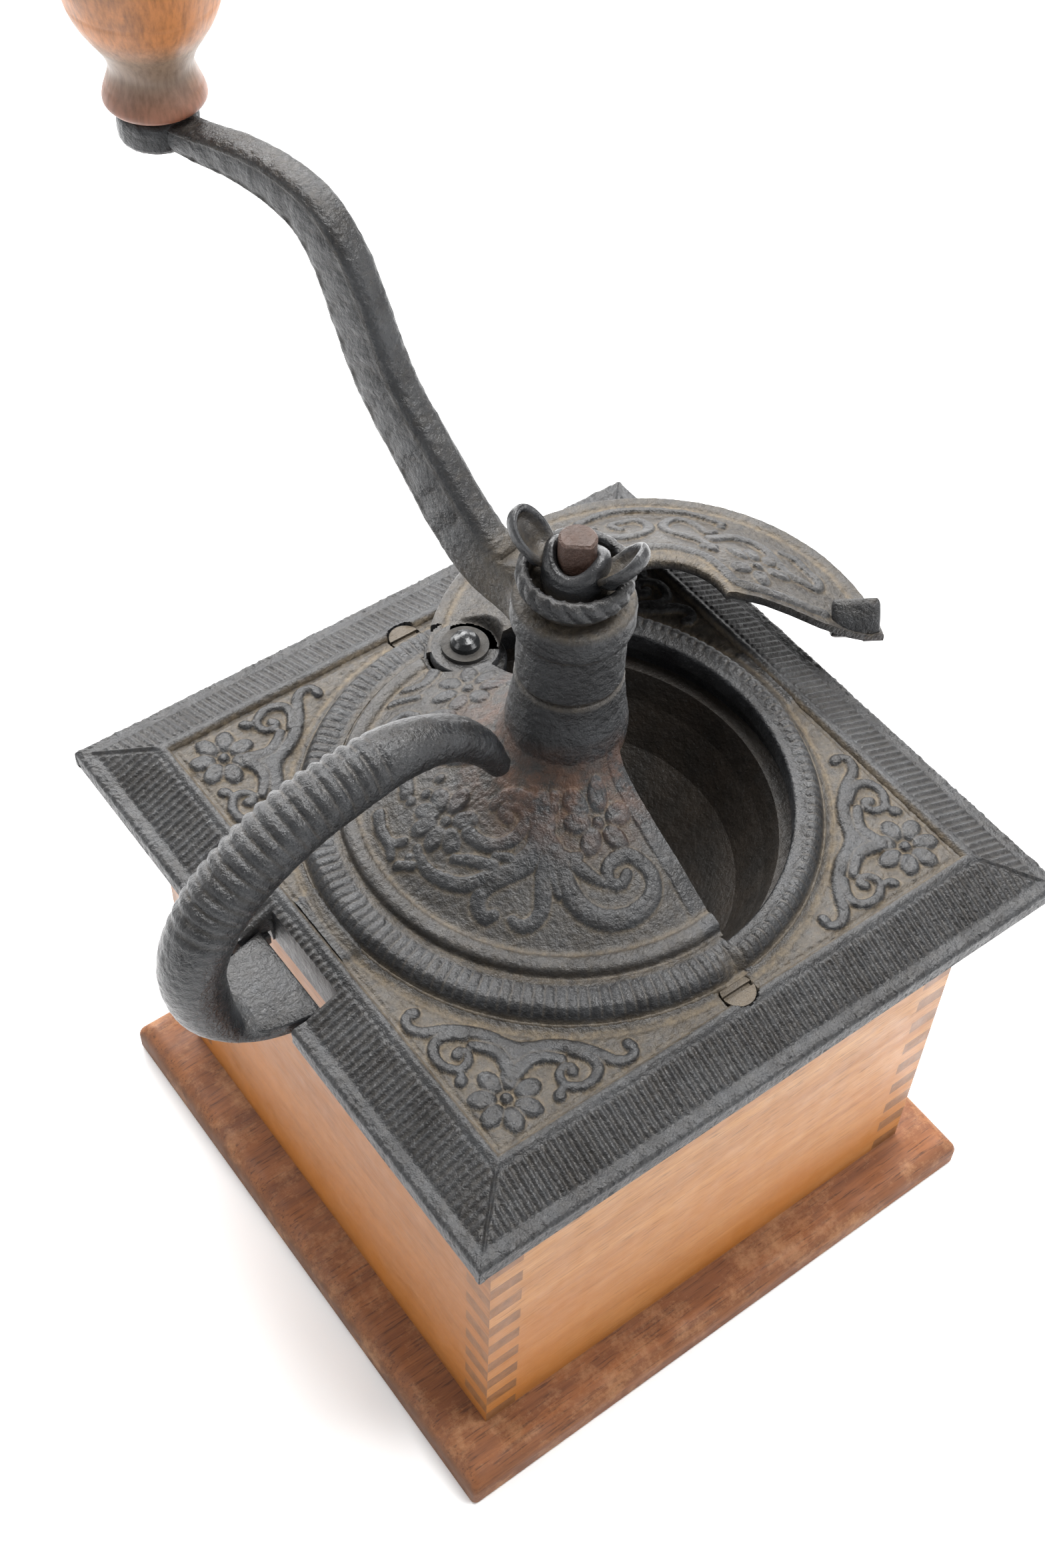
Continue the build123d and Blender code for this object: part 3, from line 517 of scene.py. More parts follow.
def knob_wood():
    """Turned knob: worn orange bulb, greyed waist, redder foot."""
    s = Shader("knob_wood")
    lengthwise = s.stretched((12.0, 12.0, 1.0))
    fine = s.noise(80, 5, 0.65, lengthwise)
    z = s.split(s.coords)[2]
    high = s.product(s.math("SUBTRACT", z, KNOB_FOOT_Z), KNOB_LENGTHS)
    zones = s.ramp(high, *KNOB_ZONES)
    colour = s.mix(s.ramp(fine, (0.42, 0.0), (0.72, 0.6)), zones, KNOB_GRAIN)
    stains = s.ramp(s.noise(70, 6, 0.7), (0.52, 0.0), (0.70, 0.55))
    colour = s.mix(stains, colour, KNOB_STAIN)
    s.set("Base Color", colour)
    s.set("Roughness", s.ramp(s.noise(150, 4), (0.3, 0.36), (0.7, 0.56)))
    s.set("Normal", s.bump(fine, 0.25, 0.0002))
    return s.material


KNOB = knob_wood()

# The body and slot of the pieces made from each material, and the CAD node they stand for.
HOMES = {
    PLATE: ("mill", "plate_iron", "top_plate"),
    HANDLE: ("mill", "handle_iron", "carrying_handle"),
    LID: ("lid", "lid_iron", "hopper_lid"),
    CRANK: ("crank", "crank_iron", "crank_arm"),
    KNOB: ("crank_grip", "knob_wood", "crank_knob"),
    COLLAR: ("collar", "collar_iron", "adjusting_collar"),
    WING: ("lock_nut", "wing_iron", "wing_nut"),
}
FINISHES = [
    (BASE, ["base_board"]),
    (BOX_X, ["board_front", "board_back"]),
    (BOX_Y_PAINTED_SHADE, ["board_left", "board_right"]),
    (FRONT, ["drawer_front"]),
    (DRAWER_Y, ["drawer_side_left", "drawer_side_right"]),
    (DRAWER_X, ["drawer_back", "drawer_bottom"]),
    (PULL, ["drawer_knob"]),
    (KNOB, ["crank_knob"]),
    (SHAFT, ["shaft", "knob_pin"]),
    (BURR, ["inner_burr", "outer_burr"]),
    (BRIDGE, ["bridge"]),
    (SCREW, ["plate_screws", "bridge_screws", "bowl_screws", "handle_screws", "base_screws",
             "drawer_knob_screw", "burr_pin", "knob_washer"]),
    (BOWL, ["hopper_bowl"]),
    (RIVET, ["lid_rivet"]),
    (WASHER, ["lid_washer"]),
    (PLATE, ["top_plate"]),
    (LID, ["hopper_lid"]),
    (HANDLE, ["carrying_handle"]),
    (CRANK, ["crank_arm"]),
    (COLLAR, ["adjusting_collar"]),
    (WING, ["wing_nut"]),
]
FINISH = {name: material for material, names in FINISHES for name in names}


def finish_cad_nodes():
    for name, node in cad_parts.items():
        if not node.material_slots:
            node.data.materials.append(FINISH[name])
        for slot in node.material_slots:
            slot.link = "OBJECT"
            slot.material = FINISH[name]


# ---- plate: the border

BORDER_OUTLINE = [(65.2, 136.0), (65.7, 136.9), (66.4, 137.3), (67.2, 137.2), (67.9, 136.7), (68.6, 136.2),
                  (78.6, 131.5), (79.3, 131.4), (80.5, 131.4), (81.0, 131.6), (81.6, 131.45),
                  (82.2, 130.9), (82.5, 129.8), (82.5, 126.8)]
RIM_UNDER = 124.4
WEB_UNDER = 128.6
LIP_UNDER = 126.3
BORDER_COLUMNS = 561
STRAIGHT_TO = 41.0
REED_PITCH = 2.0
REED_HIGH = 0.62


def border_under(r, z):
    """Point of the border's underside that belongs to a point of its top."""
    low = np.where(r < 71.0, RIM_UNDER, np.where(r < 79.3, WEB_UNDER, LIP_UNDER))
    inward = np.where(r > 81.9, np.clip((z - LIP_UNDER) * 0.4, 0, 1.6), 0.0)
    return r - inward, low


def plate_border():
    """Four sides of ribbed border, each a grid of outline points by places along the side.

    The middle of a side is straight columns; towards the mitres the columns fan out.
    """
    _, outline = even(BORDER_OUTLINE, 0.42, 2)
    r, z = columns(outline)
    half = np.linspace(-1, 1, BORDER_COLUMNS)
    near = np.abs(half)[None, :] * 2
    straight = np.repeat(half[None, :] * 2 * STRAIGHT_TO, len(outline), 0)
    sheared = np.sign(half)[None, :] * (STRAIGHT_TO + (near - 1) * (r - STRAIGHT_TO))
    along = np.where(near <= 1, straight, sheared)
    nearest = np.argmin(np.abs(along[0] - NOTCH_SIDE))
    along[:, nearest] = NOTCH_SIDE
    along[:, len(half) - 1 - nearest] = -NOTCH_SIDE
    rr = np.repeat(r, len(half), 1)
    zz = np.repeat(z, len(half), 1)

    slope = ease((rr - 68.3) / 0.7) * ease((78.7 - rr) / 0.7)
    mitre = ease((rr - np.abs(along) - 0.9) / 1.2)
    reeds = 0.5 + 0.5 * np.cos(2 * math.pi * along / REED_PITCH)
    rise = REED_HIGH * reeds * slope * mitre - 0.24
    corner = ridge(rr - np.abs(along), 0.55) * ease((rr - 67.5) / 1.0) * ease((79.8 - rr) / 1.2)
    rise += 0.55 * corner
    grain = casting(rr.shape, 11, 1)
    lip = ease((rr - 80.3) / 0.5)
    rise += grain * (0.035 + 0.13 * lip)
    rise -= 0.26 * lip
    top_z = zz + np.where(rr > 82.3, 0, rise)
    top_r = rr - np.where(rr > 82.3, 0.12 + 0.12 * np.abs(grain), 0)
    under_r, under_z = border_under(rr, zz)
    dust = 0.10 * (1 - reeds) * slope + 0.9 * ease((66.4 - rr) / 1.0)

    from_screw = np.hypot(along, rr - PLATE_SCREW_Y)
    seated_z = np.where(from_screw < SCREW_SEAT_R, SCREW_SEAT_Z, top_z)
    for turn in range(4):
        out_x, out_y = math.cos(turn * math.pi / 2), math.sin(turn * math.pi / 2)
        side_z = seated_z if turn in (1, 3) else top_z
        top = np.stack([out_x * top_r - out_y * along, out_y * top_r + out_x * along, side_z], -1)
        under = np.stack([out_x * under_r - out_y * along, out_y * under_r + out_x * along, under_z], -1)
        keep = np.ones((len(outline) - 1, len(half) - 1), bool)
        if turn == 2:
            cell_r = 0.5 * (rr[1:, 1:] + rr[:-1, 1:])
            cell_s = 0.5 * (along[1:, 1:] + along[1:, :-1])
            keep = ~((np.abs(cell_s) < NOTCH_SIDE) & (cell_r > NOTCH_INNER))
        slab(f"plate_border_{turn}", top, under, PLATE, keep, dust, sharp=60)


# ---- plate: the panel

CORNER_FLOWER = (56.5, 55.9)
CORNER_STROKES = [
    (1.8, 1.0, [(49.1, 47.1), (44.8, 49.5), (41.4, 51.0), (38.3, 53.4), (35.2, 57.2), (33.4, 60.4),
                (32.3, 61.9), (30.1, 63.2), (27.8, 62.4), (27.4, 60.2)]),
    (1.3, 1.2, [(27.5, 61.0), (27.6, 60.2)]),
    (1.3, 0.9, [(38.3, 54.9), (36.4, 58.1), (36.4, 61.0), (38.8, 62.8), (41.9, 62.7), (44.6, 60.5),
                (44.2, 57.9), (42.3, 56.8), (40.9, 57.6)]),
    (1.3, 1.2, [(41.2, 58.2), (41.5, 58.8)]),
    (0.8, 0.8, [(44.0, 61.2), (46.3, 60.9)]),
    (1.3, 1.2, [(46.9, 61.6), (47.3, 62.0)]),
    (1.2, 1.9, [(41.6, 54.9), (43.9, 52.8), (46.5, 51.5), (49.6, 51.8), (52.0, 52.4)]),
    (2.4, 2.0, [(48.4, 47.9), (50.4, 50.0)]),
]


def corner_relief(u, v):
    petals = []
    for i in range(7):
        turn = math.radians(225 + i * 360 / 7)
        petals.append((CORNER_FLOWER[0] + 5.1 * math.cos(turn), CORNER_FLOWER[1] + 5.1 * math.sin(turn)))
    result = flower(u, v, CORNER_FLOWER, petals, 2.4, 1.2)
    result = np.maximum(result, raised(u, v, CORNER_STROKES, 1.15))
    return np.maximum(result, raised(v, u, CORNER_STROKES, 1.15))


def smooth_block(x, y, x0, x1, y0, y1, high, soft):
    inside = ease((x - x0) / soft) * ease((x1 - x) / soft)
    return high * inside * ease((y - y0) / soft) * ease((y1 - y) / soft)


def plate_panel():
    """Floral panel in four quarters, with a hole in the middle for the hopper ring."""
    line = np.linspace(0, PANEL_HALF, PANEL_STEPS)
    for number, (side_x, side_y) in enumerate([(1, 1), (-1, 1), (-1, -1), (1, -1)]):
        u, v = np.meshgrid(line, line, indexing="ij")
        x, y = side_x * u, side_y * v
        r = np.hypot(u, v)
        rise = corner_relief(u, v)
        boss = smooth_block(u, y, 58.5, 69.0, -9.0, 13.0, 0.9, 2.6)
        rise = np.maximum(rise, boss)
        foot = 0.75 * np.exp(-np.clip(r - 61.4, 0, None) / 0.8)
        moat = -0.35 * ridge(r - 63.4, 0.7)
        edge = -0.35 * ease((np.maximum(u, v) - 63.9) / 0.5)
        seat = np.hypot(x, v - PLATE_SCREW_Y)
        rise = rise + foot + moat + edge
        rise = np.where(seat < 5.4, np.minimum(rise, 0.25 * ease((seat - SCREW_SEAT_R) / 0.6)), rise)
        z = PANEL_TOP + rise + 0.07 * casting(u.shape, 21 + number, 1)
        z = np.where(seat < 4.25, SCREW_SEAT_Z, z)
        keep = np.hypot(cell_middles(u), cell_middles(v)) > PANEL_HOLE_R
        dust = hollows(rise, 6, 2.0) + 0.42 * (rise < 0.2) + 0.4 * ridge(r - 62.6, 1.2)
        top = np.stack([x, y, z], -1)
        under = np.stack([x, y, np.full_like(x, PANEL_UNDER)], -1)
        slab(f"plate_panel_{number}", top, under, PLATE, keep, dust, sharp=75)


# ---- plate: ring and fixed dome

RIBS = 150
RIB_COLUMNS = 9
RING_STEPS = 34
RING_UNDER = [134.5, 129.4, 133.6]
RING_OUTSIDE = [(59.7, 139.6), (60.3, 138.4), (60.6, 137.5), (60.8, 137.0), (61.1, 137.1), (61.4, 136.7),
                (61.6, 135.8), (61.7, 134.2)]
RING_OPEN = [(53.6, 138.8), (54.0, 139.6), (55.4, 139.9), (56.6, 140.6), (57.8, 141.0), (58.8, 140.6)]
RING_FIXED = [(52.2, 140.7), (53.0, 140.8), (53.9, 140.9), (55.6, 141.0), (57.3, 141.0), (58.8, 140.7)]


def hopper_ring():
    """Ribbed ring; its section is RING_OPEN around the bowl and RING_FIXED along the fixed dome."""
    angle = full_turn(RIBS * RIB_COLUMNS)
    share = np.linspace(0, 1, RING_STEPS)
    lines = [np.array(points + RING_OUTSIDE) for points in (RING_OPEN, RING_FIXED)]
    knots = np.linspace(0, 1, len(lines[0]))
    open_r, open_z, fixed_r, fixed_z = [np.interp(share, knots, line[:, i])[:, None]
                                        for line in lines for i in (0, 1)]
    fixed = ease((DOME_CUT_X + 0.6 - 57.0 * np.cos(angle)) / 1.4)
    r = open_r + (fixed_r - open_r) * fixed
    z = open_z + (fixed_z - open_z) * fixed
    start = 56.2 - 2.7 * fixed
    body = ease((r - start) / 0.7) * ease((60.5 - r) / 0.5)
    ribs = np.abs(np.cos(RIBS * angle / 2)) ** 0.7
    rise = 0.52 * body * (ribs - 0.6)
    x, y = r * np.cos(angle), r * np.sin(angle)
    hollow = np.exp(-((x - 2.2) / 2.9) ** 2 - ((y + 60.2) / 3.4) ** 2)
    grain = casting(r.shape, 31, 1)
    z_top = z + rise * (1 - hollow) + 0.04 * grain
    z_top = np.maximum(z_top - 2.4 * hollow, np.minimum(z_top, PANEL_TOP + 0.4))
    dust = hollows(rise, 3, 1.6) + 0.6 * ease((r - 60.2) / 0.6) + 0.5 * hollow
    dust += 0.35 * fixed * ease((53.9 - r) / 1.0)
    top = np.stack([x, y, z_top], -1)
    under_r = np.clip(r, 53.0, 61.5)
    low = np.select([r < 54.9, r < 58.0], RING_UNDER[:2], RING_UNDER[2])
    under = np.stack([under_r * np.cos(angle), under_r * np.sin(angle), low], -1)
    slab("hopper_ring", top, under, PLATE, None, dust, wrap=True, sharp=70)


DOME_COLUMNS = 400
DOME_ROUGH = 0.065
DOME_SKIRT_UNDER = 134.6
DOME_LINE = [(52.6, 140.4), (52.1, 140.6), (51.6, 140.7), (51.35, 141.6), (51.1, 142.6), (50.6, 143.1),
             (49.8, 143.4), (48.8, 143.5), (47.9, 143.4), (47.3, 142.9), (46.6, 142.9), (45.6, 143.3),
             (43.0, 144.9), (39.6, 146.9), (35.8, 149.1), (32.0, 150.9), (26.0, 154.0), (21.0, 156.9),
             (17.6, 159.5), (15.8, 161.3), (14.6, 163.4), (13.8, 165.8), (13.2, 167.8), (11.6, 168.8)]
# Strokes are half width at start, half width at end, points. Flowers are centre, petals.
DOME_STROKES = [
    (2.9, 1.1, [(-16.0, -12.3), (-17.7, -15.1), (-19.8, -17.5), (-22.6, -18.4), (-26.2, -18.1),
                (-29.5, -17.3), (-32.8, -16.6), (-35.7, -17.1), (-37.1, -18.7), (-37.3, -21.3),
                (-35.5, -22.2)]),
    (1.2, 1.7, [(-22.4, -4.3), (-20.3, -4.4), (-18.2, -6.9), (-16.6, -10.1)]),
    (1.5, 1.1, [(-29.9, -4.7), (-29.2, -8.4), (-27.0, -11.5), (-24.0, -12.8), (-21.2, -12.6),
                (-19.3, -11.6), (-18.6, -9.4), (-20.0, -7.2), (-21.9, -6.7), (-22.0, -8.8)]),
    (1.2, 0.8, [(-26.6, -15.5), (-28.5, -12.9)]),
    (1.7, 1.0, [(-31.2, -15.8), (-34.7, -14.5), (-37.4, -12.2), (-39.4, -8.8), (-40.5, -4.8),
                (-40.3, -1.0), (-39.3, 1.2)]),
    (1.5, 0.9, [(-30.2, -14.4), (-32.7, -10.2), (-35.3, -6.9)]),
    (1.0, 1.0, [(-42.3, -1.0), (-44.3, 1.7)]),
    (1.3, 1.0, [(-40.0, 15.3), (-41.8, 11.9), (-42.5, 7.2), (-40.4, 4.9)]),
    (1.2, 0.9, [(-42.5, 7.2), (-44.1, 4.4)]),
    (2.3, 1.1, [(-18.7, -18.4), (-18.7, -23.0), (-19.8, -26.7), (-20.2, -30.4), (-19.3, -34.4),
                (-16.6, -37.6), (-12.5, -39.6), (-8.1, -39.8), (-4.6, -38.5), (-2.8, -35.7),
                (-3.2, -32.4), (-5.1, -29.7), (-8.1, -29.0), (-10.7, -29.8), (-11.5, -32.2),
                (-9.8, -33.7), (-7.4, -32.7)]),
    (1.6, 1.0, [(-18.6, -20.5), (-16.7, -23.2), (-14.5, -24.4)]),
    (1.7, 0.9, [(-16.1, -25.4), (-14.6, -28.8), (-12.9, -31.8)]),
    (2.0, 1.0, [(-20.6, -21.0), (-23.4, -24.0), (-25.5, -26.5), (-27.6, -28.4), (-30.6, -28.8),
                (-32.7, -27.1), (-33.0, -25.6)]),
    (1.5, 0.9, [(-20.4, -22.2), (-21.8, -25.3), (-22.4, -28.1)]),
    (1.6, 1.0, [(-4.1, 44.1), (-9.6, 41.5), (-13.5, 43.8), (-16.0, 48.1)]),
    (1.4, 1.0, [(-14.5, 45.4), (-20.3, 43.8), (-17.0, 41.0), (-14.0, 38.0)]),
    (1.5, 1.0, [(-33.2, 14.0), (-30.0, 19.0), (-26.0, 24.5), (-20.5, 28.6), (-15.4, 28.2),
                (-13.6, 24.6), (-16.2, 22.4)]),
    (1.5, 1.0, [(-26.0, 24.5), (-27.6, 30.0), (-24.4, 35.0), (-19.6, 35.4), (-18.4, 32.0)]),
    (1.6, 1.0, [(-19.0, 9.0), (-22.0, 13.0), (-23.4, 18.0), (-20.6, 20.6)]),
]
DOME_BLOBS = [(-12.5, -12.4), (-13.6, -13.8), (-14.7, -11.3), (-33.8, 11.6), (-26.4, 10.8), (-30.6, 10.2),
              (-44.3, 1.7), (-41.6, 0.9)]
DOME_FLOWERS = [
    ((-7.1, -21.5), [(-9.3, -16.1), (-4.3, -17.3), (-2.1, -22.1), (-5.4, -25.7), (-10.5, -23.5),
                     (-10.9, -19.1)]),
    ((-31.7, 1.0), [(-29.6, 6.3), (-27.1, 2.7), (-33.1, 6.2), (-35.5, 3.9), (-35.5, -0.1),
                    (-33.3, -3.3), (-28.8, -2.0)]),
    ((-5.4, 29.6), [(0.2, 29.9), (-1.6, 34.4), (-6.4, 35.2), (-10.4, 31.8), (-10.2, 26.6),
                    (-6.0, 24.2), (-1.2, 25.6)]),
]


def half_dome(line, cut_x, hand):
    """Grid over the half dome to the left or right of the straight cut at cut_x."""
    r, z = columns(even(line, 0.40, 2)[1])
    share = np.linspace(0, 1, DOME_COLUMNS)[None, :]
    cut = np.arccos(cut_x / r)
    if hand == "left":
        angle = cut + share * (2 * math.pi - 2 * cut)
    else:
        angle = -cut + share * 2 * cut
    x, y = r * np.cos(angle), r * np.sin(angle)
    return r, z, x, y, np.hypot(x - RIVET_X, y - RIVET_Y)


def dome_relief(x, y, r):
    result = raised(x, y, DOME_STROKES, 1.0)
    for place in DOME_BLOBS:
        result = np.maximum(result, blob(x, y, place, 1.25, 0.8))
    for centre, petals in DOME_FLOWERS:
        result = np.maximum(result, flower(x, y, centre, petals, 2.3, 1.0))
    band = ease((x - 0.2) / 0.7)
    return np.maximum(result, 0.45 * band) * ease((46.8 - r) / 0.5)


def fixed_dome():
    """Half of the dome that is cast in one with the plate, flattened to a pad below the rivet."""
    r, z, x, y, from_rivet = half_dome(DOME_LINE, DOME_CUT_X, "left")
    rise = dome_relief(x, y, r)
    field_edge = ease((x + 0.2) / 0.7)
    high = z + rise + DOME_ROUGH * casting(x.shape, 41, 1)
    pad = ease((10.9 - from_rivet) / 0.8)
    high = high + (np.minimum(high, 141.0) - high) * pad
    rim = 0.5 * ridge(from_rivet - 11.6, 0.7) * (r < 47.0)
    high = high + rim
    dust = hollows(rise, 6, 2.0) + 0.14 * (1 - field_edge) * (rise < 0.1)
    dust += 0.5 * ridge(r - 47.0, 0.8) + 0.5 * ridge(r - 52.2, 0.7)
    top = np.stack([x, y, high], -1)
    low = np.minimum(z - 3.2, high - 1.4)
    low = np.where(r > 50.5, DOME_SKIRT_UNDER, low)
    under = np.stack([x, y, low], -1)
    slab("fixed_dome", top, under, PLATE, None, dust, sharp=70)


def rivet_seat():
    """Round pad below the lid's pivot."""
    outline = [(2.5, 137.2), (10.0, 137.2), (10.2, 137.6), (10.2, 140.5), (9.8, 140.95), (9.0, 141.0),
               (2.5, 141.0)]
    lathe("rivet_pad", outline, PLATE, (RIVET_X, RIVET_Y), AROUND_SMALL)


def neck():
    outline = [(4.1, 148.0), (10.6, 148.0), (11.4, 153.0), (12.2, 157.5), (13.0, 161.0), (13.5, 163.5),
               (13.7, 166.0), (13.6, 168.5), (13.2, 171.5), (12.7, 174.5), (12.3, 177.6), (12.1, 179.8),
               (12.0, 182.0), (11.6, 182.6), (4.1, 182.6)]
    fine = [outline[0]]
    _, side = even(curve(outline[1:13], 8), 0.6, 2)
    fine += [tuple(p) for p in side] + outline[13:]

    def uneven(angle, radius, z):
        grain = casting(radius.shape, 51, 1)
        grain[:, -1] = grain[:, 0]
        outside = radius > 11.0
        return radius + np.where(outside, 0.05 * grain - 0.05, 0), z

    marks = np.zeros((len(fine), AROUND))
    _, heights = columns(fine)
    marks += 0.5 * ridge(heights - 162.6, 1.4) + 0.3 * ease((heights - 181.0) / 1.2)
    lathe("neck", fine, PLATE, shape=uneven, sharp=60, marks=marks)


# ---- lid

LID_LINE = [(56.2, 142.6), (56.1, 143.5), (55.6, 143.9), (54.8, 144.0), (53.4, 143.9), (52.9, 143.6),
            (52.2, 143.7), (51.0, 144.1), (47.0, 145.4), (39.6, 149.2), (32.0, 154.0), (25.5, 157.7),
            (20.0, 160.0), (18.0, 160.6), (17.0, 160.7), (16.2, 160.3)]
LID_STROKES = [
    (1.5, 1.0, [(23.4, -14.8), (27.9, -12.5), (30.8, -8.8), (34.0, -5.7), (40.0, -5.2), (44.5, -8.6),
                (43.4, -12.2), (39.3, -14.7), (35.6, -15.6), (37.6, -18.0)]),
    (1.7, 1.0, [(31.3, -15.8), (35.2, -21.4), (34.8, -26.2), (31.6, -29.9), (25.9, -32.0),
                (20.9, -34.2), (19.0, -37.7), (17.9, -40.8), (21.3, -42.1), (25.8, -39.7),
                (29.8, -37.8), (31.7, -34.3)]),
    (1.6, 1.0, [(35.6, 12.6), (31.1, 8.6), (30.1, 4.2), (33.9, 0.0), (40.0, -1.5), (43.7, 1.0),
                (42.9, 5.3), (41.1, 7.7), (37.4, 5.8)]),
    (1.3, 0.9, [(45.0, 15.5), (49.1, 8.7), (50.4, 1.1), (49.6, -7.4), (47.6, -15.1), (43.3, -21.3)]),
    (1.6, 1.0, [(35.6, 12.6), (36.8, 18.6), (34.4, 24.4), (29.0, 27.6), (23.6, 26.2), (22.6, 21.6),
                (26.2, 19.6)]),
    (1.5, 1.0, [(34.4, 24.4), (31.6, 32.0), (25.0, 36.6), (18.6, 37.0), (16.6, 33.0)]),
    (1.4, 0.9, [(26.6, 12.0), (22.4, 16.4), (19.6, 21.0)]),
]
LID_FLOWER = ((19.1, -25.6), [(24.4, -21.3), (16.0, -20.7), (13.6, -25.4), (25.2, -30.1), (18.8, -31.0),
                              (26.0, -25.4)])
LID_BLOBS = [(23.7, -14.8), (25.6, -15.6), (24.2, -12.6), (40.6, 12.4), (41.8, -20.6), (28.4, 31.2)]
LID_BAND = [(21.6, 8.0), (22.3, 3.0), (22.3, -2.8), (21.0, -7.6), (18.2, -12.3), (13.1, -15.6),
            (8.6, -18.6), (8.2, -26.1), (8.4, -33.4), (8.4, -41.0)]
LID_BAND_FAR = [(21.6, 8.0), (19.6, 12.6), (15.6, 16.4), (9.6, 19.2), (8.4, 26.0), (8.4, 33.0)]


def lid_relief(x, y, r):
    result = raised(x, y, LID_STROKES, 1.0)
    result = np.maximum(result, flower(x, y, LID_FLOWER[0], LID_FLOWER[1], 2.35, 1.0))
    for place in LID_BLOBS:
        result = np.maximum(result, blob(x, y, place, 1.3, 0.8))
    band = np.maximum(stroke(x, y, LID_BAND, 1.8, 1.7, 0.75), stroke(x, y, LID_BAND_FAR, 1.8, 1.7, 0.75))
    return np.maximum(result, band) * ease((51.6 - r) / 0.8)


def about_rivet(points, turn):
    """Points turned about the rivet's upright axis."""
    out = points.copy()
    x, y = points[..., 0] - RIVET_X, points[..., 1] - RIVET_Y
    out[..., 0] = RIVET_X + x * math.cos(turn) - y * math.sin(turn)
    out[..., 1] = RIVET_Y + x * math.sin(turn) + y * math.cos(turn)
    return out


def hopper_lid():
    """Swinging half dome, its ear around the rivet and its thumb tab, drawn closed and then opened."""
    r, z, x, y, from_rivet = half_dome(LID_LINE, LID_CUT_X, "right")
    rise = lid_relief(x, y, r)
    high = z + 1.2 * rise + DOME_ROUGH * casting(x.shape, 61, 1)
    ear = ease((9.0 - from_rivet) / 1.0)
    high = high + (np.minimum(high, LID_TOP) - high) * ear
    low = np.where(r > 51.0, LID_UNDER, z - 2.4)
    low = np.minimum(low, high - 1.2)
    low = np.maximum(low, LID_UNDER)
    dust = hollows(rise, 6, 2.2) + 0.16 * (rise < 0.1) + 0.6 * ridge(r - 52.6, 0.8)
    dust += 0.35 * ease((22.0 - r) / 3.0) * (rise < 0.3)
    cx, cy = cell_middles(x), cell_middles(y)
    away = np.hypot(cx - RIVET_X, cy - RIVET_Y)
    keep = ~((cx < RIVET_X + 8) & (cy > RIVET_Y) & (away > 9.4)) & (away > 3.4)
    top = about_rivet(np.stack([x, y, high], -1), LID_OPEN)
    under = about_rivet(np.stack([x, y, low], -1), LID_OPEN)
    slab("hopper_lid_shell", top, under, LID, keep, dust, sharp=70)
    outline = [(2.6, LID_UNDER), (8.3, LID_UNDER), (8.6, LID_UNDER + 0.3), (8.6, LID_TOP - 0.5),
               (8.2, LID_TOP), (2.6, LID_TOP)]
    lathe("hopper_lid_ear", outline, LID, (RIVET_X, RIVET_Y), AROUND_SMALL)
    lid_tab()


def plane_frames(line):
    """Unit directions along and across a line that lies in a plane."""
    run = np.gradient(line[:, :2], axis=0)
    run /= np.linalg.norm(run, axis=1)[:, None]
    return run, np.stack([-run[:, 1], run[:, 0]], -1)


def lid_tab():
    """Thumb tab: a thick rounded tongue at the end of the cut edge, turned up and leaning back."""
    line = curve([(12.4, 142.6), (9.0, 142.6), (6.7, 143.0), (6.4, 144.4), (7.8, 147.0), (9.6, 149.2),
                  (10.8, 150.6)], 6)
    _, line = even(line, 0.4, 2)
    _, side = plane_frames(line)
    turn = full_turn(64)
    share = np.linspace(0, 1, len(line))[:, None]
    round_off = np.sqrt(np.clip(1 - (np.clip(share - 0.86, 0, 1) / 0.15) ** 2, 0.02, 1))
    thick = (1.2 - 0.2 * share) * round_off
    half_wide = TAB_HALF_WIDE * (0.80 + 0.20 * round_off) * (0.86 + 0.14 * ease(share / 0.3))
    across = squared(np.cos(turn), 0.22)
    through = squared(np.sin(turn), 0.6) * thick
    hollow = 0.5 * (across ** 2 - 0.6) * ease((share - 0.4) / 0.2)
    x = line[:, :1] + side[:, :1] * (through - hollow)
    z = line[:, 1:2] + side[:, 1:2] * (through - hollow)
    y = TAB_Y + across * half_wide
    rings = np.stack([np.maximum(x, LID_CUT_X), y, np.maximum(z, LID_UNDER)], -1)
    marks = np.zeros(rings.shape[:2]) + 0.3 * ease((0.5 - share) / 0.2)
    skin("hopper_lid_tab", about_rivet(rings, LID_OPEN), LID, marks=marks, sharp=60)


# ---- carrying handle

HANDLE_Y = -2.0
# x, z, half height and half width of the bar; its flutes lie between two distances along it.
HANDLE_LINE = [(-86.0, 129.4, 1.9, 9.0), (-92.4, 131.8, 3.8, 7.4), (-96.6, 141.0, 6.4, 7.0),
               (-97.6, 155.0, 7.2, 7.3), (-92.4, 168.0, 7.5, 7.5), (-83.2, 177.4, 7.5, 7.5),
               (-71.6, 184.0, 7.4, 7.4), (-58.4, 187.4, 7.0, 7.0), (-45.4, 188.2, 6.2, 6.2),
               (-33.6, 184.2, 5.2, 5.2), (-25.2, 175.8, 4.2, 4.2), (-20.2, 166.6, 2.9, 2.9)]
HANDLE_COLUMNS = 72
FLUTE_PITCH = 3.1
FLUTES_FROM = 39.0
FLUTES_TO = 97.0


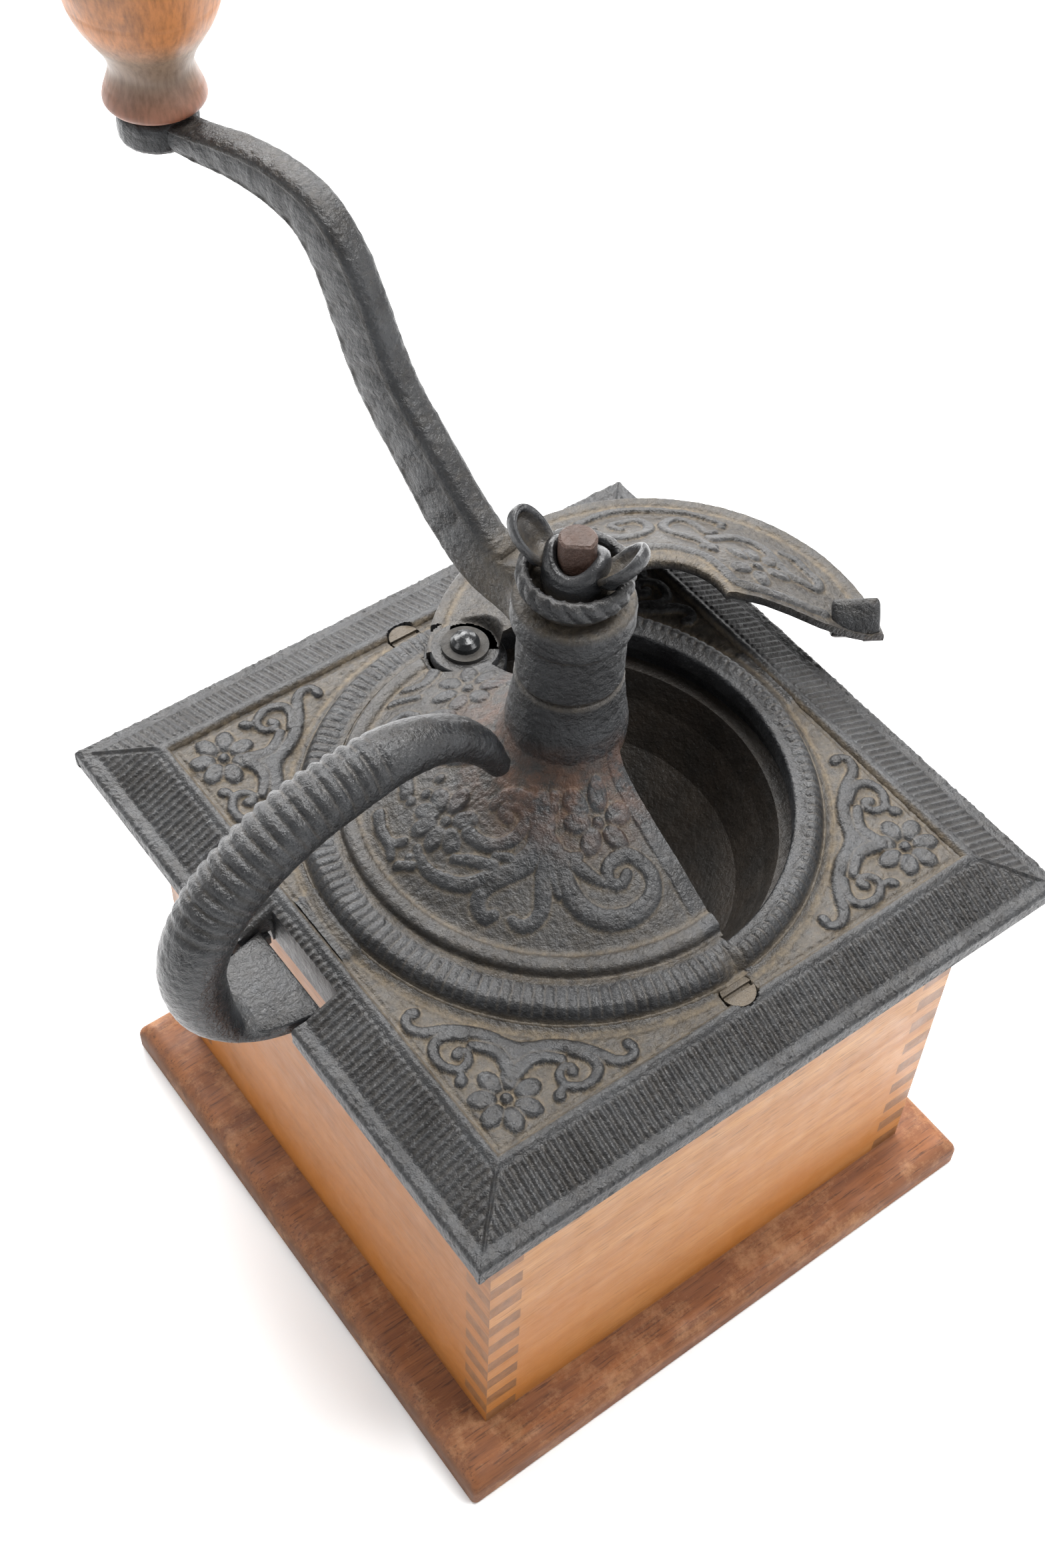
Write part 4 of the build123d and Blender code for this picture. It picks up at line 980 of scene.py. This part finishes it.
def handle_bar():
    """Curved handle with flutes across its outer side and a rounded tip."""
    at, line = even(curve(HANDLE_LINE, 12), 0.42, 2)
    run, side = plane_frames(line)
    tip = line[-1, 2]
    turn = full_turn(HANDLE_COLUMNS)
    x, z, high, wide = (line[:, i:i + 1] for i in range(4))
    along = at[:, None]
    outer = ease((np.cos(turn) + 0.42) / 0.55)
    groove = np.abs(np.sin(math.pi * along / FLUTE_PITCH)) ** 0.9
    fluted = ease((along - FLUTES_FROM) / 7.0) * ease((FLUTES_TO - along) / 7.0)
    crest = 1 - 0.75 * ridge(np.sin(turn), 0.09)
    depth = 0.85 * (groove - 1.0) * fluted * outer * crest
    depth = depth - 0.14 * ridge(np.sin(turn) - 0.03, 0.035) * (np.cos(turn) > 0)
    grain = casting((len(line), HANDLE_COLUMNS), 71, 1)
    depth = depth + 0.05 * (grain - 1)
    in_plane = (high + depth) * np.cos(turn)
    across = (wide + depth) * np.sin(turn)
    rings = np.stack([x + side[:, :1] * in_plane, HANDLE_Y + across, z + side[:, 1:2] * in_plane], -1)
    tip_rings = []
    for lean in np.linspace(0.15, 1.0, 7):
        bend = lean * math.pi / 2 * 0.97
        flat = rings[-1] - [line[-1, 0], HANDLE_Y, line[-1, 1]]
        centre = np.array([line[-1, 0] + run[-1, 0] * tip * math.sin(bend), HANDLE_Y,
                           line[-1, 1] + run[-1, 1] * tip * math.sin(bend)])
        tip_rings.append(centre + flat * math.cos(bend))
    rings = np.concatenate([rings, np.array(tip_rings)])
    marks = np.zeros(rings.shape[:2])
    marks[:len(line)] = hollows(depth, 2, 2.2) * 0.6
    skin("handle_bar", rings, HANDLE, marks=marks, sharp=80)


def flat_pad(name, outline, levels):
    """Flat body from one outline; levels are (z, share of the outline's size)."""
    outline = np.asarray(outline, float)
    centre = outline.mean(0)
    rings = [np.column_stack([centre + (outline - centre) * share, np.full(len(outline), z)])
             for z, share in levels]
    skin(name, np.array(rings), HANDLE, sharp=50)


def handle_foot():
    near_side = [(-74.0, -13.0), (-82.0, -11.6), (-88.0, -9.6), (-92.6, -6.6), (-95.0, -2.0)]
    far_side = [(-92.6, 6.0), (-88.0, 9.0), (-82.0, 11.0), (-74.0, 13.0)]
    _, outline = even(curve(near_side + far_side, 8), 0.8, 2)
    levels = [(127.4, 0.99), (127.7, 1.0), (130.5, 1.0), (131.0, 0.985), (131.2, 0.96), (131.5, 0.80),
              (131.8, 0.55), (131.9, 0.2)]
    flat_pad("handle_foot", outline, levels)
    for name, y0, y1 in (("handle_lug_near", -22.0, -12.0), ("handle_lug_far", 12.0, 22.0)):
        corners = [(-78.8, y0), (-71.8, y0), (-71.8, y1), (-78.8, y1), (-78.8, y0)]
        _, edge = even(corners, 0.7, 2)
        levels = [(125.2, 0.96), (125.5, 1.0), (128.2, 1.0), (128.5, 0.96)]
        flat_pad(name, edge[:-1], levels)


# ---- crank

# Reach from the shaft, height and half depth, then the pitches of the ornament.
ARM_LINE = [(6.0, 197.4, 7.0), (14.0, 197.2, 7.2), (23.4, 199.6, 8.6), (30.5, 204.8, 8.6),
            (36.7, 211.4, 8.2), (42.7, 218.6, 7.8), (48.8, 225.6, 7.4), (53.8, 233.0, 7.2),
            (57.6, 241.2, 7.0), (61.1, 249.4, 6.8), (65.2, 256.8, 6.4), (71.4, 262.8, 5.8),
            (80.2, 265.4, 5.0), (91.0, 265.6, 4.2), (103.7, 263.8, 3.4), (112.0, 263.1, 2.9)]
ARM_COLUMNS = 84
LEAF_PITCH = 7.4
BEAD_PITCH = 2.6
KNOB_UNDER = 267.9
PAD_REACH = 116.4
PAD_CENTRE = (PAD_REACH * math.cos(CRANK_AZIMUTH), PAD_REACH * math.sin(CRANK_AZIMUTH))


def crank_bar():
    """S-shaped arm with leaves on its broad faces."""
    at, line = even(curve(ARM_LINE, 10), 0.45, 2)
    _, side = plane_frames(line)
    turn = full_turn(ARM_COLUMNS)
    reach, z, deep = (line[:, i:i + 1] for i in range(3))
    along = at[:, None]
    thick = 4.5 + 4.5 * np.exp(-np.clip(reach - 9.0, 0, None) / 3.2)
    across = squared(np.cos(turn), 0.62)
    out = squared(np.sin(turn), 0.62)
    broad = ease((np.abs(out) - 0.80) / 0.16) * ease((along - 20.0) / 10.0) * ease((150.0 - along) / 18.0)
    field = ease((0.70 - np.abs(across)) / 0.08)
    leaf = np.sin(2 * math.pi * (along / LEAF_PITCH - 0.30 * across * np.sign(out)))
    vein = np.abs(np.sin(math.pi * (along / LEAF_PITCH + 0.55 * np.abs(across))))
    calm = 1 - 0.55 * ease((along - 85.0) / 30.0)
    bumps = calm * (0.34 * (0.5 + 0.5 * leaf) * (1 - 0.5 * np.abs(across)) + 0.16 * vein)
    groove = -0.30 * ridge(np.abs(across) - 0.74, 0.05)
    beads = 0.12 * np.sin(2 * math.pi * along / BEAD_PITCH) * ease((np.abs(across) - 0.80) / 0.06)
    push = broad * (field * (bumps - 0.55) + groove + beads)
    grain = casting((len(line), ARM_COLUMNS), 81, 1)
    push = push + 0.055 * (grain - 1)
    edge = 0.05 * grain * ease((np.abs(across) - 0.7) / 0.2)
    in_plane = across * (deep - 0.1 + edge)
    sideways = out * thick + np.sign(out) * push
    flat_x = reach + side[:, :1] * in_plane
    flat_z = z + side[:, 1:2] * in_plane
    flat_z = np.where(reach < 20.0, np.minimum(flat_z, 204.6), flat_z)
    rings = around_z(flat_x, sideways, flat_z, CRANK_AZIMUTH)
    marks = hollows(push, 3, 2.2) + 0.5 * ridge(np.abs(across) - 0.74, 0.07) * broad
    marks = marks + 0.6 * ease((26.0 - along) / 12.0)
    outside_hub = np.squeeze(reach > 11.0)
    rings, marks = rings[outside_hub], marks[outside_hub]
    skin("crank_bar", rings, CRANK, marks=marks, sharp=70)


def uneven_side(seed, amount, from_radius):
    """Shape function for lathe: casting unevenness on the outside only."""
    def shape(angle, radius, z):
        grain = casting(radius.shape, seed, 1)
        return radius + np.where(radius > from_radius, amount * (grain - 1), 0.0), z
    return shape


def crank_hub():
    side = [(4.1, 183.0), (11.3, 183.0), (11.7, 183.4)]
    side += [(11.8, z) for z in np.arange(184.0, 196.6, 0.7)]
    side += [(12.2, 197.0), (12.8, 197.5), (13.2, 198.2)]
    side += [(13.25, z) for z in np.arange(198.8, 203.6, 0.6)]
    side += [(13.0, 204.2), (12.4, 204.6), (11.0, 204.8), (9.0, 204.8), (4.1, 204.8)]
    marks = np.zeros((len(side), AROUND))
    radii, heights = columns(side)
    marks += 0.5 * ease((heights - 203.8) / 0.8) + 0.4 * ridge(heights - 197.0, 0.6)
    marks += 0.35 * ease((184.0 - heights) / 0.8) * (radii > 11)
    lathe("crank_hub", side, CRANK, shape=uneven_side(91, 0.07, 11.0), sharp=55, marks=marks)
    pad = [(3.05, 259.6), (7.4, 259.6), (8.2, 260.1), (8.6, 261.0), (8.65, 262.6), (8.65, 264.4),
           (8.5, 265.6), (8.0, 266.3), (7.2, 266.5), (3.05, 266.5)]
    lathe("crank_pad", pad, CRANK, PAD_CENTRE, AROUND_HUB, shape=uneven_side(95, 0.06, 7.0), sharp=55)


def grip():
    """Turned knob: narrow waist above a short flared foot, long bulb with the pin's pocket on top."""
    side = [(9.2, 0.0), (10.2, 0.3), (10.8, 1.2), (10.6, 2.6), (10.0, 4.4), (9.1, 6.8), (8.8, 9.2),
            (10.0, 12.4), (12.2, 15.8), (14.1, 19.0), (15.4, 22.2), (16.2, 25.6), (17.5, 31.0),
            (18.6, 37.0), (18.85, 42.0), (18.2, 47.5), (15.8, 52.8), (11.8, 57.2), (8.2, 59.3),
            (6.2, 59.9)]
    _, smooth = even(curve(side, 8), 0.5, 2)
    pocket = [(5.5, 59.8), (5.4, 59.0), (5.4, 56.0), (3.1, 56.0), (3.1, 0.0)]
    outline = [(radius, KNOB_UNDER + high) for radius, high in list(smooth) + pocket]

    def turned_by_hand(angle, radius, z):
        high = z - KNOB_UNDER
        lines = 0.10 * (ridge(high - 4.6, 0.35) + ridge(high - 24.0, 0.35))
        outside = (radius > 8.0) & (high > 0.4)
        return radius - outside * (lines + 0.04 * (1 + np.sin(2 * angle + 0.1 * high))), z

    lathe("crank_knob_turned", outline, KNOB, PAD_CENTRE, shape=turned_by_hand, sharp=50)


# ---- grind adjustment

ROPE_BUMPS = 20


def adjusting_collar():
    outline = [(4.15, 205.1), (9.2, 205.1), (9.6, 205.4), (9.9, 206.4), (10.6, 207.4), (11.6, 208.2),
               (12.1, 208.9), (12.35, 209.7), (12.5, 210.6), (12.45, 211.5), (12.2, 212.3), (11.7, 212.9),
               (11.0, 213.2), (10.4, 213.1), (9.9, 212.7), (9.6, 212.0), (9.6, 210.0), (9.5, 208.1),
               (9.2, 207.8), (4.15, 207.8)]
    _, fine = even(outline, 0.35, 2)

    def rope(angle, radius, z):
        grain = casting(radius.shape, 101, 1)
        zone = ease((z - 208.2) / 1.0) * ease((213.4 - z) / 0.8) * (radius > 10.0)
        twist = angle + (z - 211.0) * 0.05
        bumps = np.abs(np.cos(ROPE_BUMPS * twist / 2)) ** 0.6
        worn = 0.6 + 0.4 * ease(0.7 - np.cos(angle + 0.6))
        return radius + zone * worn * (1.0 * (bumps - 1.0)) + 0.05 * (grain - 1) * (radius > 9.0), z

    radii, heights = columns(fine)
    marks = np.zeros((len(fine), AROUND_COLLAR)) + 0.7 * (radii < 9.65) * (heights > 207) * (heights < 210)
    marks += 0.3 * (heights < 208.4) * (radii > 9)
    lathe("adjusting_collar_cup", fine, COLLAR, around=AROUND_COLLAR, shape=rope, sharp=60, marks=marks)


# Reach from the shaft and height of a wing's middle line, then its half width.
WING_LINE = [(5.8, 211.6), (6.9, 214.2), (8.7, 217.0), (10.8, 219.4), (12.6, 221.5), (13.9, 223.6)]
WING_HALF_WIDE = 5.0


def wing(number, azimuth):
    """One wing: a dished oval ear with a thick rounded rim, leaning out from the hub."""
    line = curve(WING_LINE, 8)
    _, side = plane_frames(line)
    grid = np.linspace(-1, 1, 45)
    u, v = np.meshgrid(grid, grid, indexing="ij")
    across = u * np.sqrt(1 - v * v / 2)
    height = v * np.sqrt(1 - u * u / 2)
    rho = np.clip(np.hypot(across, height), 0, 1)
    at = (height + 1) / 2 * (len(line) - 1)
    knots = np.arange(len(line))
    reach, z = (np.interp(at, knots, line[:, i]) for i in (0, 1))
    normal_x, normal_z = (np.interp(at, knots, side[:, i]) for i in (0, 1))
    dish = -2.4 * (1 - rho ** 2)
    rim = np.sqrt(np.clip(1 - (np.clip(rho - 0.78, 0, 1) / 0.22) ** 2, 0, 1))
    thick = (0.75 + 0.55 * ease((rho - 0.5) / 0.25)) * rim + 0.02
    base = 1.3 * ease((-height - 0.3) / 0.6)
    sideways = across * WING_HALF_WIDE
    faces = []
    for way in (1, -1):
        push = dish + way * (thick + base * rim)
        flat_x, flat_z = reach + normal_x * push, z + normal_z * push
        faces.append(around_z(flat_x, sideways, flat_z, azimuth))
    marks = 0.6 * ease((-height) / 0.8) + 0.35 * (rho < 0.7)
    slab(f"wing_{number}", faces[0], faces[1], WING, marks=marks, sharp=75)


def wing_nut():
    outline = [(4.1, 208.1), (6.6, 208.1), (7.0, 208.5), (7.2, 209.6), (7.2, 212.8), (7.0, 215.0),
               (6.7, 216.4), (6.0, 217.2), (5.0, 217.4), (4.4, 216.8), (4.1, 216.0)]
    _, fine = even(outline, 0.35, 2)

    def saddle(angle, radius, z):
        lift = 1.7 * np.cos(2 * (angle - WING_AZIMUTH)) * ease((z - 212.0) / 4.0)
        return radius, z + lift - 0.6 * ease((z - 212.0) / 4.0)

    marks = np.zeros((len(fine), AROUND_HUB)) + 0.6 * ease((211.0 - fine[:, 1:2]) / 2.5)
    lathe("wing_hub", fine, WING, around=AROUND_HUB, shape=saddle, sharp=60, marks=marks)
    for number in (0, 1):
        wing(number, WING_AZIMUTH + number * math.pi)


# ---- stage, light, camera

def soften_wood():
    """Tiny bevels on the sawn parts, so their edges catch light."""
    for name in ("board_front", "board_back", "board_left", "board_right", "base_board", "drawer_front"):
        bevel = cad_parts[name].modifiers.new("edge", "BEVEL")
        bevel.width = 0.25 * MM
        bevel.segments = 2
        bevel.limit_method = "ANGLE"
        bevel.angle_limit = math.radians(40)


FLOOR_HALF = 8.0


def floor():
    s = Shader("floor")
    s.set("Base Color", s.ramp(s.noise(3, 3), (0.3, (0.90, 0.90, 0.90)), (0.7, (0.93, 0.93, 0.93))))
    s.set("Roughness", s.ramp(s.noise(40, 3), (0.3, 0.55), (0.7, 0.65)))
    mesh = bpy.data.meshes.new("floor")
    work = bmesh.new()
    bmesh.ops.create_grid(work, x_segments=8, y_segments=8, size=FLOOR_HALF)
    work.to_mesh(mesh)
    work.free()
    mesh.materials.append(s.material)
    sheet = bpy.data.objects.new("floor", mesh)
    sheet.location = (0, 0, -0.0002)
    bpy.context.scene.collection.objects.link(sheet)


# Name, place, point aimed at and size in metres, power in watts.
LAMPS = [
    ("behind", (0.20, 1.25, 1.05), (0, 0, 0.12), (1.5, 0.9), 50),
    ("overhead", (0.42, -0.12, 1.5), (0, 0, 0.12), (0.9, 0.7), 34),
    ("left_bank", (-1.5, 0.35, 0.8), (0, 0, 0.14), (0.5, 0.9), 6),
    ("right_bank", (1.3, 0.75, 0.75), (0, 0, 0.16), (0.5, 0.9), 9),
    ("front_fill", (0.9, -1.3, 0.8), (0, 0, 0.08), (0.8, 0.5), 9),
]
WORLD_LIGHT = 0.33


def area_light(name, place, aim, size, power):
    data = bpy.data.lights.new(name, "AREA")
    data.shape = "RECTANGLE"
    data.size, data.size_y = size
    data.energy = power
    lamp = bpy.data.objects.new(name, data)
    lamp.location = place
    lamp.rotation_euler = (Vector(aim) - Vector(place)).to_track_quat("-Z", "Y").to_euler()
    bpy.context.scene.collection.objects.link(lamp)


def lights():
    world = bpy.data.worlds.new("studio")
    world.use_nodes = True
    background = world.node_tree.nodes["Background"]
    background.inputs["Color"].default_value = (1.0, 1.0, 1.0, 1.0)
    background.inputs["Strength"].default_value = WORLD_LIGHT
    bpy.context.scene.world = world
    bpy.context.scene.view_settings.view_transform = "Standard"
    for lamp in LAMPS:
        area_light(*lamp)


VIEW_AZIMUTH = math.radians(-38.43)
VIEW_ELEVATION = math.radians(51.16)
VIEW_ROLL = math.radians(2.457)
VIEW_TARGET = Vector((14.17, 32.31, 100.0))
VIEW_DISTANCE = 523.59
VIEW_LENS = 47.06


def camera():
    level = math.cos(VIEW_ELEVATION)
    back = Vector((math.sin(VIEW_AZIMUTH) * level, -math.cos(VIEW_AZIMUTH) * level,
                   math.sin(VIEW_ELEVATION)))
    right = Vector((0, 0, 1)).cross(back).normalized()
    up = back.cross(right)
    tilted_right = math.cos(VIEW_ROLL) * right + math.sin(VIEW_ROLL) * up
    tilted_up = math.cos(VIEW_ROLL) * up - math.sin(VIEW_ROLL) * right
    data = bpy.data.cameras.new("camera")
    data.sensor_fit = "VERTICAL"
    data.sensor_height = 36.0
    data.lens = VIEW_LENS
    data.clip_start = 0.01
    eye = bpy.data.objects.new("camera", data)
    turn = Matrix((tilted_right, tilted_up, back)).transposed().to_4x4()
    eye.matrix_world = Matrix.Translation((VIEW_TARGET + VIEW_DISTANCE * back) * MM) @ turn
    bpy.context.scene.collection.objects.link(eye)
    bpy.context.scene.camera = eye


finish_cad_nodes()
soften_wood()
plate_border()
plate_panel()
hopper_ring()
fixed_dome()
rivet_seat()
neck()
hopper_lid()
handle_bar()
handle_foot()
crank_bar()
crank_hub()
grip()
adjusting_collar()
wing_nut()
floor()
lights()
camera()
